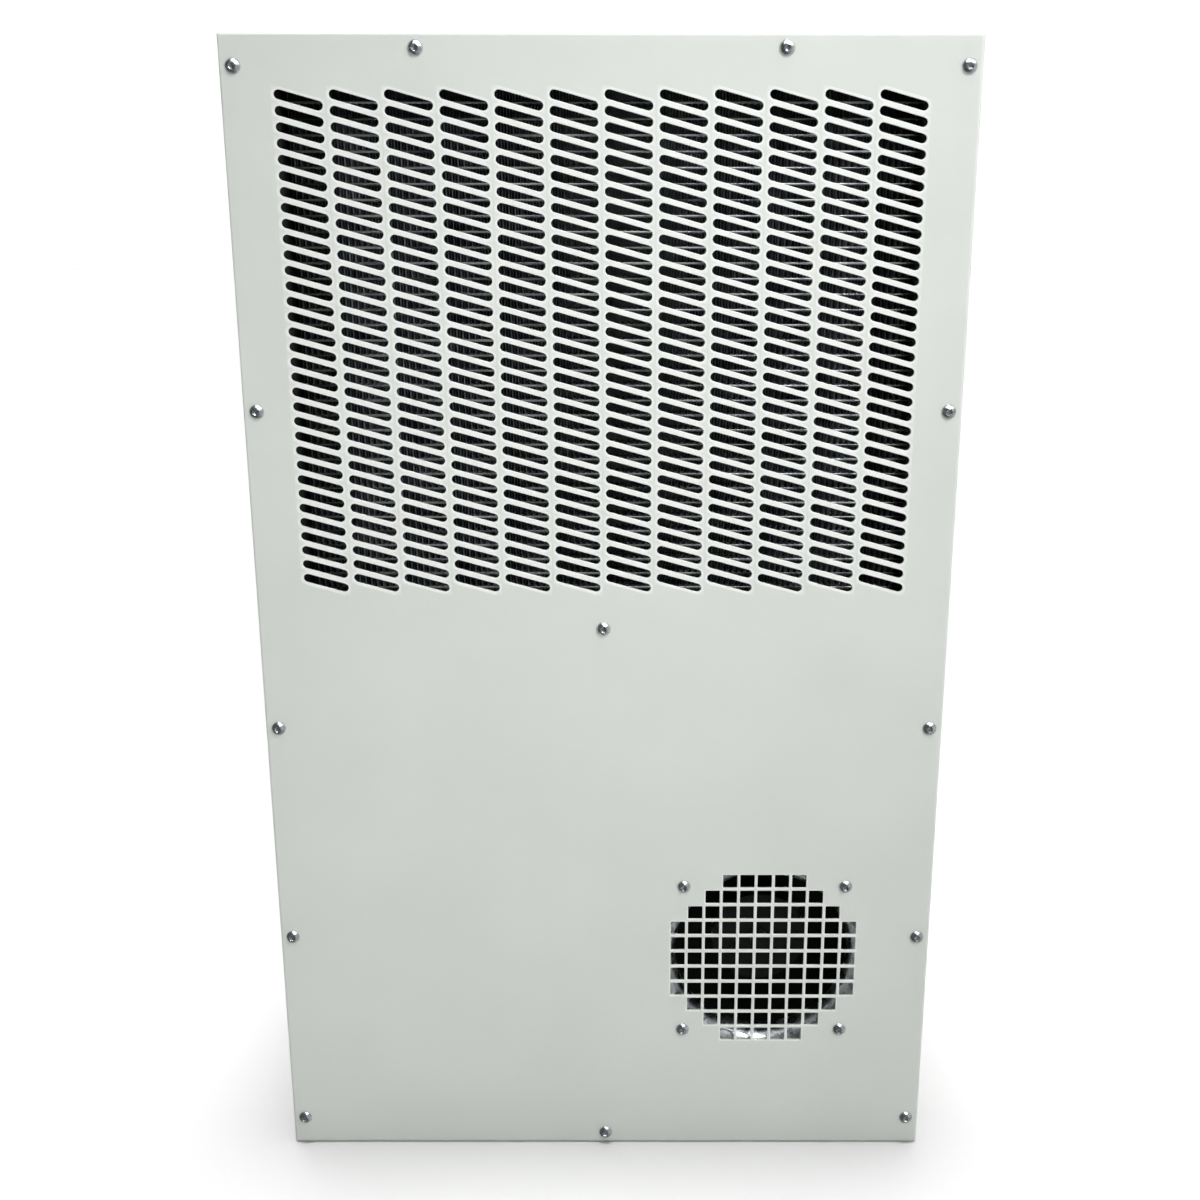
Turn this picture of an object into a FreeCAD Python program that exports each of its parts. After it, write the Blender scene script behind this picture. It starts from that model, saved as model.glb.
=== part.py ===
import FreeCAD
import Part

import math
import os

# Cabinet air conditioner: a one-piece cooling unit that bolts to the outside of an equipment cabinet.
# Millimetres. +Z is up, -Y is the slotted front, and the origin is the middle of the footprint.
# Outside air is handled in front of a stepped partition: condenser above, compressor and fan below.
# Cabinet air is handled behind it: fan and controls above, evaporator and drain pan below.

# Casing
CASING_WIDTH = 446.0
CASING_HEIGHT = 746.0
CASING_DEPTH = 200.0
SHEET = 1.5
COVER_RIM = 20.0
COVER_GAP = 0.5
COVER_BEND = 2.0
COVER_CORNER = 1.2
FLANGE = 18.0
SIDE_TAB = 14.0
TAB_SETBACK = 6.0
COVER_SEAL = 2.0
REAR_SEAL = 5.0
REAR_SEAL_WIDTH = 12.0
REAR_SEAL_INSET = 24.0
REAR_CORNER = 3.0

# Slanted slots
SLOT_LENGTH = 29.5
SLOT_WIDTH = 5.5
SLOT_TILT = 15.5
SLOT_COLUMN_PITCH = 32.3
SLOT_ROW_PITCH = 9.15
FRONT_SLOT_SIDE_MARGIN = 28.0
FRONT_SLOT_DROP = 37.1
FRONT_SLOT_ABOVE_RAIL = 28.0
REAR_SLOT_SIDE_MARGIN = 44.0
REAR_SLOT_ROWS = 25
REAR_SLOT_HEIGHT = 84.0

# Round grilles of square cells, one over each fan
CELL = 9.75
CELL_WEB = 2.0
CELLS_PER_ROW = (5, 7, 9, 11, 11, 11, 11, 11, 9, 7, 5)
FRONT_FAN_FROM_SIDE = 114.0
FRONT_FAN_Z = 147.0
REAR_FAN_FROM_SIDE = 138.0
REAR_FAN_DROP = 186.0
RING_BOLT_SQUARE = 110.0

# Socket button-head screws, clinch nuts and rivets
SCREW_RADIUS = 2.5
HEAD_RADIUS = 4.6
HEAD_HEIGHT = 2.6
HEAD_FLAT = 2.0
SOCKET_FLATS = 3.0
SOCKET_DEPTH = 1.6
SCREW_HOLE_CLEARANCE = 0.3
NUT_RADIUS = 4.8
NUT_HEIGHT = 4.0
NUT_THREAD_GAP = 0.05
SCREW_TIP = 1.0
COVER_SCREW_INSET = 8.5
TOP_SCREW_FROM_SIDE = 115.0
SIDE_SCREW_TOP_INSET = 18.4
SIDE_SCREW_BOTTOM_INSET = 20.6
SIDE_SCREW_SHARES = (0.295, 0.5753, 0.7802)
MID_SCREW_SHARE = 0.4835
REAR_SCREW_SHARES = (0.123, 0.322, 0.697)
REAR_SCREW_TOP_INSET = 30.0
REAR_SCREW_INSET = 11.0
RIVET_RADIUS = 2.0
RIVET_HEAD_RADIUS = 3.6
RIVET_HEAD_TOP_RADIUS = 2.2
RIVET_HEAD = 0.9
RIVET_TAIL = 2.0
RIVET_TAIL_RADIUS = 2.8
RIVET_SPACING = 70.0

# Mounting rivet nuts in the rear plate
MOUNT_THREAD_RADIUS = 3.0
MOUNT_BODY_RADIUS = 4.5
MOUNT_HEAD_RADIUS = 6.5
MOUNT_HEAD = 1.0
MOUNT_BODY = 14.0
MOUNT_END_INSET = 60.0

# Partition and cross rail
PARTITION = 1.2
EVAPORATOR_BAY_DEPTH = 59.0
CONTROL_BAY_DEPTH = 109.0
PARTITION_STEP_ABOVE_COIL = 23.0
PARTITION_SIDE_GAP = 2.0
RAIL_HEIGHT = 24.0
RAIL_LIP_BEYOND = 4.0

# Condenser
CORE_SETBACK = 18.0
CORE_DEPTH = 18.0
FIN_HEIGHT = 7.9
TUBE_HEIGHT = 1.5
CORE_BELOW_ROOF = 20.0
HEADER_FROM_WALL = 18.5
HEADER_RADIUS = 11.0
HEADER_WALL = 1.5
HEADER_OVERRUN = 6.0
HEADER_EDGE = 3.5
TUBE_IN_HEADER = 2.0
FIN_END_GAP = 0.5
SIDE_PLATE = 2.0
CLAMP_WALL = 2.4
CLAMP_HEIGHT = 16.0
CLAMP_INSET = 40.0
CLAMP_TAB = 12.0
SEAT_GAP = 0.05

# Fan, along its axis from the inner face of the panel that carries its inlet ring
RING_SHEET = 1.2
RING_FLANGE_RADIUS = 90.0
RING_THROAT_RADIUS = 60.0
RING_CURVE = 12.0
RING_DEPTH = 16.0
IMPELLER_RADIUS = 95.0
IMPELLER_INLET_GAP = 2.3
IMPELLER_COLLAR_WALL = 2.0
IMPELLER_OVERLAP = 4.0
IMPELLER_PLATE = 2.0
BLADE_COUNT = 7
BLADE_HEIGHT = 40.0
BLADE_THICKNESS = 2.2
BLADE_INNER_RADIUS = 66.5
BLADE_SWEEP = 52.0
BLADE_MID_SWEEP = 23.0
ROTOR_RADIUS = 33.0
ROTOR_WALL = 2.5
ROTOR_FACE_DEPTH = 30.0
ROTOR_FLANGE = 9.0
ROTOR_FLANGE_THICKNESS = 2.0
NOSE_RADIUS = 6.0
NOSE_LENGTH = 6.0
SHAFT_RADIUS = 4.0
SHAFT_RUNNING_GAP = 0.05
SHAFT_BOSS_RADIUS = 7.0
AIR_GAP = 1.0
THRUST_GAP = 0.3
STATOR_INSET = 3.5
STATOR_CORE_LENGTH = 22.0
BEARING_RADIUS = 5.5
BEARING_LENGTH = 10.0
BEARING_TUBE_RADIUS = 10.0
MOTOR_FLANGE_RADIUS = 38.0
MOTOR_FLANGE_GAP = 4.0
MOTOR_FLANGE = 8.0
BEARING_TUBE_BEYOND = 6.0
SHAFT_BEYOND = 4.0
COLLAR_RADIUS = 7.0
COLLAR_THICKNESS = 2.0
BRACKET_HALF_WIDTH = 50.0
BRACKET_HALF_HEIGHT = 45.0
BRACKET_SHEET = 2.0
BRACKET_FOOT = 14.0
BRACKET_HOLE_GAP = 2.0

# Compressor
COMPRESSOR_FROM_SIDE = 78.0
COMPRESSOR_BEHIND_MIDDLE = 2.5
COMPRESSOR_RADIUS = 51.0
COMPRESSOR_WALL = 3.0
COMPRESSOR_BODY_HEIGHT = 197.0
COMPRESSOR_CAP_HEIGHT = 44.0
COMPRESSOR_CAP_FLAT = 26.0
COMPRESSOR_EDGE = 10.0
FOOT_CIRCLE = 64.0
FOOT_LOBE = 9.5
FOOT_PLATE = 3.0
GROMMET_HEIGHT = 26.5
GROMMET_RADIUS = 9.0
GROMMET_NECK_RADIUS = 6.0
GROMMET_TOP = 5.0
GROMMET_TOP_RADIUS = 8.0
STUD_RADIUS = 3.0
STUD_NUT_RADIUS = 5.5
STUD_NUT_HEIGHT = 5.0
STUD_BEYOND = 3.0
PUMP_HEIGHT = 46.0
PUMP_FLOOR = 6.0
CRANK_RADIUS = 8.0
CRANK_LENGTH = 160.0
MOTOR_ROTOR_RADIUS = 29.0
MOTOR_ROTOR_HEIGHT = 70.0
MOTOR_ROTOR_LIFT = 74.0
MOTOR_STATOR_HEIGHT = 80.0
TERMINAL_COVER_RADIUS = 9.0
TERMINAL_COVER_HEIGHT = 14.0
TERMINAL_COVER_OFFSET = 13.0
TERMINAL_COVER_EDGE = 3.0
ACCUMULATOR_RADIUS = 22.0
ACCUMULATOR_GAP = 8.0
ACCUMULATOR_BOTTOM = 95.0
ACCUMULATOR_HEIGHT = 130.0
ACCUMULATOR_SHOULDER = 12.0
ACCUMULATOR_NECK = 7.0
ACCUMULATOR_WALL = 2.0
STRAP_HEIGHT = 14.0
STRAP_WALL = 1.5

# Refrigerant pipes
PIPE_RADIUS = 4.0
SUCTION_RADIUS = 5.0
PIPE_BEND = 16.0
TIGHT_BEND = 10.0
SUCTION_WALL_OFFSET = 12.5
DISCHARGE_OFFSET = 15.0
DISCHARGE_RISE = 55.0
DISCHARGE_ENTRY_BELOW_TOP = 70.0
LIQUID_EXIT_ABOVE_BOTTOM = 18.0
PIPE_RUN_BEHIND_HEADER = 43.0
DRIER_RADIUS = 13.0
DRIER_LENGTH = 80.0
DRIER_CONE = 10.0
DRIER_NECK = 5.0
LIQUID_DROP = 40.0
VALVE_RADIUS = 9.0
VALVE_LENGTH = 30.0
VALVE_HEAD_RADIUS = 15.0
VALVE_HEAD_LENGTH = 8.0
VALVE_HEAD_EDGE = 2.5
VALVE_NECK_RADIUS = 5.4
VALVE_NECK_LENGTH = 9.0
SUCTION_LEG_BEFORE_PARTITION = 30.0
SUCTION_ELBOW_DROP = 25.0
PIPE_GROMMET_WALL = 3.0
PIPE_GROMMET_LIP = 2.0
PIPE_GROMMET_LIP_THICKNESS = 1.5

# Evaporator and drain
COIL_FROM_SIDE = 38.0
COIL_GAP_BEHIND_PARTITION = 12.8
COIL_DEPTH = 36.0
COIL_BOTTOM = 56.0
COIL_TUBE_ROWS = 13
COIL_TUBE_PITCH = 21.0
COIL_TUBE_COLUMNS = 3
COIL_COLUMN_PITCH = 12.7
COIL_TUBE_RADIUS = 3.5
COIL_TUBE_WALL = 0.4
COIL_END_PLATE = 1.5
COIL_STUB = 3.0
PAN_FROM_WALL = 5.5
PAN_HEIGHT = 36.0
PAN_WALL = 1.5
PAN_CLEARANCE = 1.0
DRAIN_FROM_PAN_END = 64.0
DRAIN_BORE = 5.0
DRAIN_RADIUS = 8.0
DRAIN_FLANGE_RADIUS = 12.0
DRAIN_FLANGE = 2.0
DRAIN_BELOW_FLOOR = 1.0

# Controls
BOX_FROM_FAN = 30.0
BOX_FROM_WALL = 7.5
BOX_ABOVE_STEP = 33.0
BOX_BELOW_ROOF = 20.5
BOX_DEPTH = 68.0
BOX_SHEET = 1.2
BOARD_INSET = 20.0
BOARD_BOTTOM_INSET = 95.0
BOARD = 1.6
STANDOFF_HEIGHT = 9.0
STANDOFF_RADIUS = 3.0
STANDOFF_INSET = 8.0
RELAY_COUNT = 4
RELAY_SIZE = 19.0
RELAY_HEIGHT = 16.0
RELAY_PITCH = 28.0
CAPACITOR_RADIUS = 20.0
CAPACITOR_LENGTH = 56.0
CAPACITOR_INSET = 42.0
CAPACITOR_EDGE = 2.5
TERMINAL_ABOVE_BOX_FOOT = 39.0
TERMINAL_WAYS = 6
TERMINAL_PITCH = 10.0
TERMINAL_HEIGHT = 24.0
TERMINAL_DEPTH = 16.0
TERMINAL_WELL = 7.0
TERMINAL_SCREW_RADIUS = 2.6
TERMINAL_SCREW_SLOT = 0.8
TERMINAL_BARRIER = 1.6
WINDOW_WIDTH = 70.0
WINDOW_HEIGHT = 36.0
WINDOW_CORNER = 3.0

# Planes worked out from the sizes above
FRONT_Y = -(HEAD_HEIGHT + CASING_DEPTH + REAR_SEAL) / 2 + HEAD_HEIGHT
REAR_Y = FRONT_Y + CASING_DEPTH
COVER_BACK = FRONT_Y + SHEET
FRAME_FRONT = COVER_BACK + COVER_SEAL
FRAME_REAR = REAR_Y - SHEET
HALF_WIDTH = CASING_WIDTH / 2
BODY_HALF = HALF_WIDTH - SHEET - COVER_GAP
BODY_BOTTOM = SHEET + COVER_GAP
BODY_TOP = CASING_HEIGHT - SHEET - COVER_GAP
WALL_INSIDE = BODY_HALF - SHEET
FLOOR_TOP = BODY_BOTTOM + SHEET
ROOF_UNDER = BODY_TOP - SHEET
SCREW_HOLE = SCREW_RADIUS + SCREW_HOLE_CLEARANCE
MID_SCREW_DROP = MID_SCREW_SHARE * CASING_HEIGHT
MID_SCREW_Z = CASING_HEIGHT - MID_SCREW_DROP
TOP_SCREW_X = HALF_WIDTH - TOP_SCREW_FROM_SIDE
FRONT_FAN_X = HALF_WIDTH - FRONT_FAN_FROM_SIDE
REAR_FAN_X = REAR_FAN_FROM_SIDE - HALF_WIDTH
REAR_FAN_Z = CASING_HEIGHT - REAR_FAN_DROP
FRONT_SLOT_COLUMNS = int((CASING_WIDTH - 2 * FRONT_SLOT_SIDE_MARGIN) / SLOT_COLUMN_PITCH)
FRONT_SLOT_ROWS = 1 + int((MID_SCREW_DROP - FRONT_SLOT_DROP - FRONT_SLOT_ABOVE_RAIL) / SLOT_ROW_PITCH)
REAR_SLOT_COLUMNS = int((CASING_WIDTH - 2 * REAR_SLOT_SIDE_MARGIN) / SLOT_COLUMN_PITCH)
LOWER_PARTITION = REAR_Y - EVAPORATOR_BAY_DEPTH
UPPER_PARTITION = REAR_Y - CONTROL_BAY_DEPTH
CORE_FRONT = COVER_BACK + CORE_SETBACK
CORE_Y = CORE_FRONT + CORE_DEPTH / 2
CORE_BOTTOM = MID_SCREW_Z + RAIL_HEIGHT / 2
FIN_START = CORE_BOTTOM + SIDE_PLATE
TUBE_PITCH = FIN_HEIGHT + TUBE_HEIGHT
CORE_SPACE = ROOF_UNDER - CORE_BELOW_ROOF - FIN_START - FIN_HEIGHT - SIDE_PLATE
TUBE_COUNT = int(CORE_SPACE / TUBE_PITCH)
HEADER_X = WALL_INSIDE - HEADER_FROM_WALL
CORE_TOP = FIN_START + TUBE_COUNT * TUBE_PITCH + FIN_HEIGHT + SIDE_PLATE
COMPRESSOR_X = COMPRESSOR_FROM_SIDE - HALF_WIDTH
COMPRESSOR_Y = (FRONT_Y + LOWER_PARTITION) / 2 + COMPRESSOR_BEHIND_MIDDLE
FEET_BOTTOM = FLOOR_TOP + GROMMET_HEIGHT
SHELL_BOTTOM = FEET_BOTTOM + FOOT_PLATE
SHELL_JOIN = SHELL_BOTTOM + COMPRESSOR_BODY_HEIGHT
SHELL_TOP = SHELL_JOIN + COMPRESSOR_CAP_HEIGHT
ACCUMULATOR_X = COMPRESSOR_X + COMPRESSOR_RADIUS + ACCUMULATOR_GAP + ACCUMULATOR_RADIUS
ACCUMULATOR_TOP = ACCUMULATOR_BOTTOM + ACCUMULATOR_HEIGHT
SUCTION_X = -(WALL_INSIDE - SUCTION_WALL_OFFSET)
PIPE_Y = CORE_Y + PIPE_RUN_BEHIND_HEADER
COIL_FRONT = LOWER_PARTITION + PARTITION + COIL_GAP_BEHIND_PARTITION
COIL_Y = COIL_FRONT + COIL_DEPTH / 2
COIL_TOP = COIL_BOTTOM + COIL_TUBE_ROWS * COIL_TUBE_PITCH
COIL_HALF_WIDTH = HALF_WIDTH - COIL_FROM_SIDE
PARTITION_STEP_HEIGHT = COIL_TOP + PARTITION_STEP_ABOVE_COIL
PAN_HALF_WIDTH = WALL_INSIDE - PAN_FROM_WALL
DRAIN_X = PAN_HALF_WIDTH - DRAIN_FROM_PAN_END
BOX_LEFT = REAR_FAN_X + IMPELLER_RADIUS + BOX_FROM_FAN
BOX_RIGHT = WALL_INSIDE - BOX_FROM_WALL
BOX_BOTTOM = PARTITION_STEP_HEIGHT + BOX_ABOVE_STEP
BOX_TOP = ROOF_UNDER - BOX_BELOW_ROOF
TERMINAL_X = (BOX_LEFT + BOX_RIGHT) / 2
TERMINAL_Z = BOX_BOTTOM + TERMINAL_ABOVE_BOX_FOOT
BOX_BACK = UPPER_PARTITION + PARTITION
BOX_FACE = BOX_BACK + BOX_DEPTH
LIQUID_EXIT_Z = CORE_BOTTOM + LIQUID_EXIT_ABOVE_BOTTOM
DISCHARGE_ENTRY_Z = CORE_TOP - DISCHARGE_ENTRY_BELOW_TOP
DRIER_TOP = LIQUID_EXIT_Z - LIQUID_DROP
DRIER_BOTTOM = DRIER_TOP - DRIER_LENGTH
VALVE_BOTTOM = DRIER_BOTTOM - VALVE_LENGTH


def vec(x, y, z):
    return FreeCAD.Vector(x, y, z)


def block(x0, x1, y0, y1, z0, z1):
    """A box between two corners."""
    return Part.makeBox(x1 - x0, y1 - y0, z1 - z0, vec(x0, y0, z0))


def rod(radius, start, end):
    """A round bar from one point to another."""
    along = end - start
    return Part.makeCylinder(radius, along.Length, start, along)


def ring(outer, inner, start, end):
    """A round tube from one point to another."""
    return rod(outer, start, end).cut(rod(inner, start, end))


def fused(first, *others):
    """One solid from touching or overlapping solids."""
    return first.multiFuse(list(others)).removeSplitter()


def group(solids):
    """Separate solids that share one node."""
    return Part.makeCompound(solids)


def polygon(points):
    return Part.makePolygon(points + points[:1])


def turned(profile):
    """A solid turned about the Y axis from (radius, distance along the axis) points."""
    face = Part.Face(polygon([vec(r, s, 0) for r, s in profile]))
    return face.revolve(vec(0, 0, 0), vec(0, 1, 0), 360)


def turned_upright(profile, x, y):
    """A solid turned about a vertical axis from (radius, height) points."""
    face = Part.Face(polygon([vec(r, 0, z) for r, z in profile]))
    solid = face.revolve(vec(0, 0, 0), vec(0, 0, 1), 360)
    solid.translate(vec(x, y, 0))
    return solid


def facing(shape, x, panel_y, z, from_rear=False):
    """A copy of a piece whose local +Y runs into the unit, set on a panel at the front or the rear."""
    placed = shape.copy()
    if from_rear:
        placed.rotate(vec(0, 0, 0), vec(0, 0, 1), 180)
    placed.translate(vec(x, panel_y, z))
    return placed


def round_wire(radius, x, y, z):
    """A circle in a vertical plane that faces the front."""
    return Part.Wire(Part.makeCircle(radius, vec(x, y, z), vec(0, 1, 0)))


def rectangle_hole(x0, x1, y, z0, z1):
    """A square-cornered hole, drawn clockwise seen from the front as every hole is."""
    return polygon([vec(x0, y, z0), vec(x0, y, z1), vec(x1, y, z1), vec(x1, y, z0)])


def rounded_outline(x0, x1, y, z0, z1, radius):
    """A rectangle with round corners, drawn anticlockwise seen from the front."""
    centres = [(x1 - radius, z0 + radius), (x1 - radius, z1 - radius),
               (x0 + radius, z1 - radius), (x0 + radius, z0 + radius)]
    arcs = []
    for quarter, (x, z) in enumerate(centres):
        turns = [math.radians(90 * quarter - 90 + step) for step in (0, 45, 90)]
        arcs.append([vec(x + radius * math.cos(t), y, z + radius * math.sin(t)) for t in turns])
    edges = []
    for before, arc in zip(arcs[-1:] + arcs[:-1], arcs):
        edges.append(Part.LineSegment(before[-1], arc[0]).toShape())
        edges.append(Part.Arc(*arc).toShape())
    return Part.Wire(edges)


def slot_wire(x, y, z, slope):
    """A round-ended slot; a positive slope lowers its +X end."""
    reach = (SLOT_LENGTH - SLOT_WIDTH) / 2
    tilt = math.radians(slope)
    along = vec(math.cos(tilt), 0, -math.sin(tilt))
    across = vec(math.sin(tilt), 0, math.cos(tilt)) * (SLOT_WIDTH / 2)
    middle = vec(x, y, z)
    right = middle + along * reach
    left = middle - along * reach
    tip = along * (SLOT_WIDTH / 2)
    edges = [
        Part.LineSegment(left + across, right + across).toShape(),
        Part.Arc(right + across, right + tip, right - across).toShape(),
        Part.LineSegment(right - across, left - across).toShape(),
        Part.Arc(left - across, left - tip, left + across).toShape(),
    ]
    return Part.Wire(edges)


def slot_field(columns, rows, middle_z, y, slope):
    """Wires of a field of slanted slots, centred on the unit's width."""
    wires = []
    for column in range(columns):
        x = (column - (columns - 1) / 2) * SLOT_COLUMN_PITCH
        for row in range(rows):
            z = middle_z + ((rows - 1) / 2 - row) * SLOT_ROW_PITCH
            wires.append(slot_wire(x, y, z, slope))
    return wires


def cell_field(x, y, z):
    """Wires of a round grille made of square cells."""
    pitch = CELL + CELL_WEB
    wires = []
    for row, count in enumerate(CELLS_PER_ROW):
        cell_z = z + ((len(CELLS_PER_ROW) - 1) / 2 - row) * pitch
        for index in range(count):
            cell_x = x + (index - (count - 1) / 2) * pitch
            half = CELL / 2
            wires.append(rectangle_hole(cell_x - half, cell_x + half, y, cell_z - half, cell_z + half))
    return wires


def ring_bolt_places(x, z):
    """Where the four screws of an inlet ring sit."""
    half = RING_BOLT_SQUARE / 2
    return [(x + i * half, z + k * half) for i in (-1, 1) for k in (-1, 1)]


def cover_screw_places():
    """Where the cover is screwed to the casing flanges and to the cross rail."""
    side_x = HALF_WIDTH - COVER_SCREW_INSET
    top_z = CASING_HEIGHT - COVER_SCREW_INSET
    heights = [CASING_HEIGHT - SIDE_SCREW_TOP_INSET, SIDE_SCREW_BOTTOM_INSET]
    heights += [CASING_HEIGHT * (1 - share) for share in SIDE_SCREW_SHARES]
    places = [(side * side_x, z) for side in (-1, 1) for z in heights]
    places += [(-TOP_SCREW_X, top_z), (TOP_SCREW_X, top_z)]
    places += [(0, COVER_SCREW_INSET), (0, MID_SCREW_Z)]
    return places


def rear_screw_places():
    x = HALF_WIDTH - REAR_SCREW_INSET
    heights = [share * CASING_HEIGHT for share in REAR_SCREW_SHARES]
    heights.append(CASING_HEIGHT - REAR_SCREW_TOP_INSET)
    return [(side * x, z) for side in (-1, 1) for z in heights]


def mount_places():
    x = HALF_WIDTH - REAR_SCREW_INSET
    heights = (MOUNT_END_INSET, CASING_HEIGHT / 2, CASING_HEIGHT - MOUNT_END_INSET)
    return [(side * x, z) for side in (-1, 1) for z in heights]


def plate_with_holes(outline, holes, thickness):
    """A flat upright plate with through holes; outline and holes are wires in its front plane."""
    return Part.Face([outline] + holes).extrude(vec(0, thickness, 0))


# Casing

def front_cover():
    """Folded pan with the condenser slots, the fan grille and its screw holes."""
    pan = block(-HALF_WIDTH, HALF_WIDTH, FRONT_Y, FRONT_Y + COVER_RIM, 0, CASING_HEIGHT)
    corners = [e for e in pan.Edges if abs(e.tangentAt(e.FirstParameter).y) > 0.9]
    pan = pan.makeFillet(COVER_CORNER, corners)
    front_edges = [e for e in pan.Edges if e.BoundBox.YMax < FRONT_Y + COVER_BEND / 2]
    pan = pan.makeFillet(COVER_BEND, front_edges)
    hollow = block(-HALF_WIDTH + SHEET, HALF_WIDTH - SHEET, COVER_BACK, FRONT_Y + COVER_RIM,
                   SHEET, CASING_HEIGHT - SHEET)
    margin = COVER_BEND + SHEET
    window = (-HALF_WIDTH + margin, HALF_WIDTH - margin, FRONT_Y, margin, CASING_HEIGHT - margin)
    opening = rounded_outline(*window, COVER_CORNER)
    rim = pan.cut(hollow).cut(plate_with_holes(opening, [], SHEET))
    slot_middle = CASING_HEIGHT - FRONT_SLOT_DROP - (FRONT_SLOT_ROWS - 1) / 2 * SLOT_ROW_PITCH
    holes = slot_field(FRONT_SLOT_COLUMNS, FRONT_SLOT_ROWS, slot_middle, FRONT_Y, SLOT_TILT)
    holes += cell_field(FRONT_FAN_X, FRONT_Y, FRONT_FAN_Z)
    screws = cover_screw_places() + ring_bolt_places(FRONT_FAN_X, FRONT_FAN_Z)
    holes += [round_wire(SCREW_HOLE, x, FRONT_Y, z) for x, z in screws]
    return rim.fuse(plate_with_holes(opening, holes, SHEET))


def rear_panel():
    """Flat rear plate with the cabinet-air grille, the outlet slots and the terminal window."""
    outline = rounded_outline(-HALF_WIDTH, HALF_WIDTH, FRAME_REAR, 0, CASING_HEIGHT, REAR_CORNER)
    middle = REAR_SLOT_HEIGHT + (REAR_SLOT_ROWS - 1) / 2 * SLOT_ROW_PITCH
    holes = slot_field(REAR_SLOT_COLUMNS, REAR_SLOT_ROWS, middle, FRAME_REAR, -SLOT_TILT)
    holes += cell_field(REAR_FAN_X, FRAME_REAR, REAR_FAN_Z)
    screws = rear_screw_places() + ring_bolt_places(REAR_FAN_X, REAR_FAN_Z)
    holes += [round_wire(SCREW_HOLE, x, FRAME_REAR, z) for x, z in screws]
    holes += [round_wire(MOUNT_BODY_RADIUS, x, FRAME_REAR, z) for x, z in mount_places()]
    window = rounded_outline(TERMINAL_X - WINDOW_WIDTH / 2, TERMINAL_X + WINDOW_WIDTH / 2, FRAME_REAR,
                             TERMINAL_Z - WINDOW_HEIGHT / 2, TERMINAL_Z + WINDOW_HEIGHT / 2, WINDOW_CORNER)
    holes.append(window.reversed())
    return plate_with_holes(outline, holes, SHEET)


def side_panel(side):
    """Side wall with turned-in front and rear flanges, drilled for the cover and the rear plate."""
    wall = block(WALL_INSIDE, BODY_HALF, FRAME_FRONT, FRAME_REAR, FLOOR_TOP, ROOF_UNDER)
    inner = BODY_HALF - FLANGE
    front = block(inner, WALL_INSIDE, FRAME_FRONT, FRAME_FRONT + SHEET, FLOOR_TOP, ROOF_UNDER)
    rear = block(inner, WALL_INSIDE, FRAME_REAR - SHEET, FRAME_REAR, FLOOR_TOP, ROOF_UNDER)
    panel = fused(wall, front, rear)
    drills = [rod(SCREW_HOLE, vec(x, FRAME_FRONT, z), vec(x, FRAME_FRONT + SHEET, z))
              for x, z in cover_screw_places() if x > inner]
    drills += [rod(SCREW_HOLE, vec(x, FRAME_REAR - SHEET, z), vec(x, FRAME_REAR, z))
               for x, z in rear_screw_places() if x > 0]
    drills += [rod(MOUNT_BODY_RADIUS, vec(x, FRAME_REAR - SHEET, z), vec(x, FRAME_REAR, z))
               for x, z in mount_places() if x > 0]
    drills += [rod(RIVET_RADIUS, vec(WALL_INSIDE, y, z), vec(BODY_HALF, y, z)) for y, z in rivet_places()]
    panel = panel.cut(group(drills))
    return panel if side > 0 else panel.mirror(vec(0, 0, 0), vec(1, 0, 0))


def rivet_places():
    """Rivets along the riveted tabs of the roof and the floor, as (y, z)."""
    heights = (FLOOR_TOP + SIDE_TAB / 2, ROOF_UNDER - SIDE_TAB / 2)
    middle = (FRAME_FRONT + FRAME_REAR) / 2
    return [(middle + i * RIVET_SPACING, z) for i in (-1, 0, 1) for z in heights]


def horizontal_panel(plate_z, inward):
    """Floor or roof sheet; inward is +1 where its flanges turn up and -1 where they turn down."""
    root_z = plate_z + SHEET if inward > 0 else plate_z
    flange_x = BODY_HALF - FLANGE - COVER_GAP

    def upright(x0, x1, y0, y1, height):
        low, high = sorted((root_z, root_z + inward * height))
        return block(x0, x1, y0, y1, low, high)

    plate = block(-BODY_HALF, BODY_HALF, FRAME_FRONT, FRAME_REAR, plate_z, plate_z + SHEET)
    lips = [
        upright(-flange_x, flange_x, FRAME_FRONT, FRAME_FRONT + SHEET, FLANGE),
        upright(-flange_x, flange_x, FRAME_REAR - SHEET, FRAME_REAR, FLANGE),
    ]
    tab_front = FRAME_FRONT + SHEET + TAB_SETBACK
    tab_rear = FRAME_REAR - SHEET - TAB_SETBACK
    for side in (-1, 1):
        x0, x1 = sorted((side * WALL_INSIDE, side * (WALL_INSIDE - SHEET)))
        lips.append(upright(x0, x1, tab_front, tab_rear, SIDE_TAB))
    panel = fused(plate, *lips)
    drills = [rod(SCREW_HOLE, vec(x, FRAME_FRONT, z), vec(x, FRAME_FRONT + SHEET, z))
              for x, z in cover_screw_places() if abs(x) < flange_x and abs(z - plate_z) < FLANGE]
    drills += [rod(RIVET_RADIUS, vec(side * (WALL_INSIDE - SHEET), y, z), vec(side * WALL_INSIDE, y, z))
               for side in (-1, 1) for y, z in rivet_places() if abs(z - plate_z) < FLANGE]
    return panel.cut(group(drills))


def base_panel():
    """Floor sheet, with the drain outlet's hole."""
    drain = rod(DRAIN_RADIUS, vec(DRAIN_X, COIL_Y, BODY_BOTTOM), vec(DRAIN_X, COIL_Y, FLOOR_TOP))
    return horizontal_panel(BODY_BOTTOM, 1).cut(drain)


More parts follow.
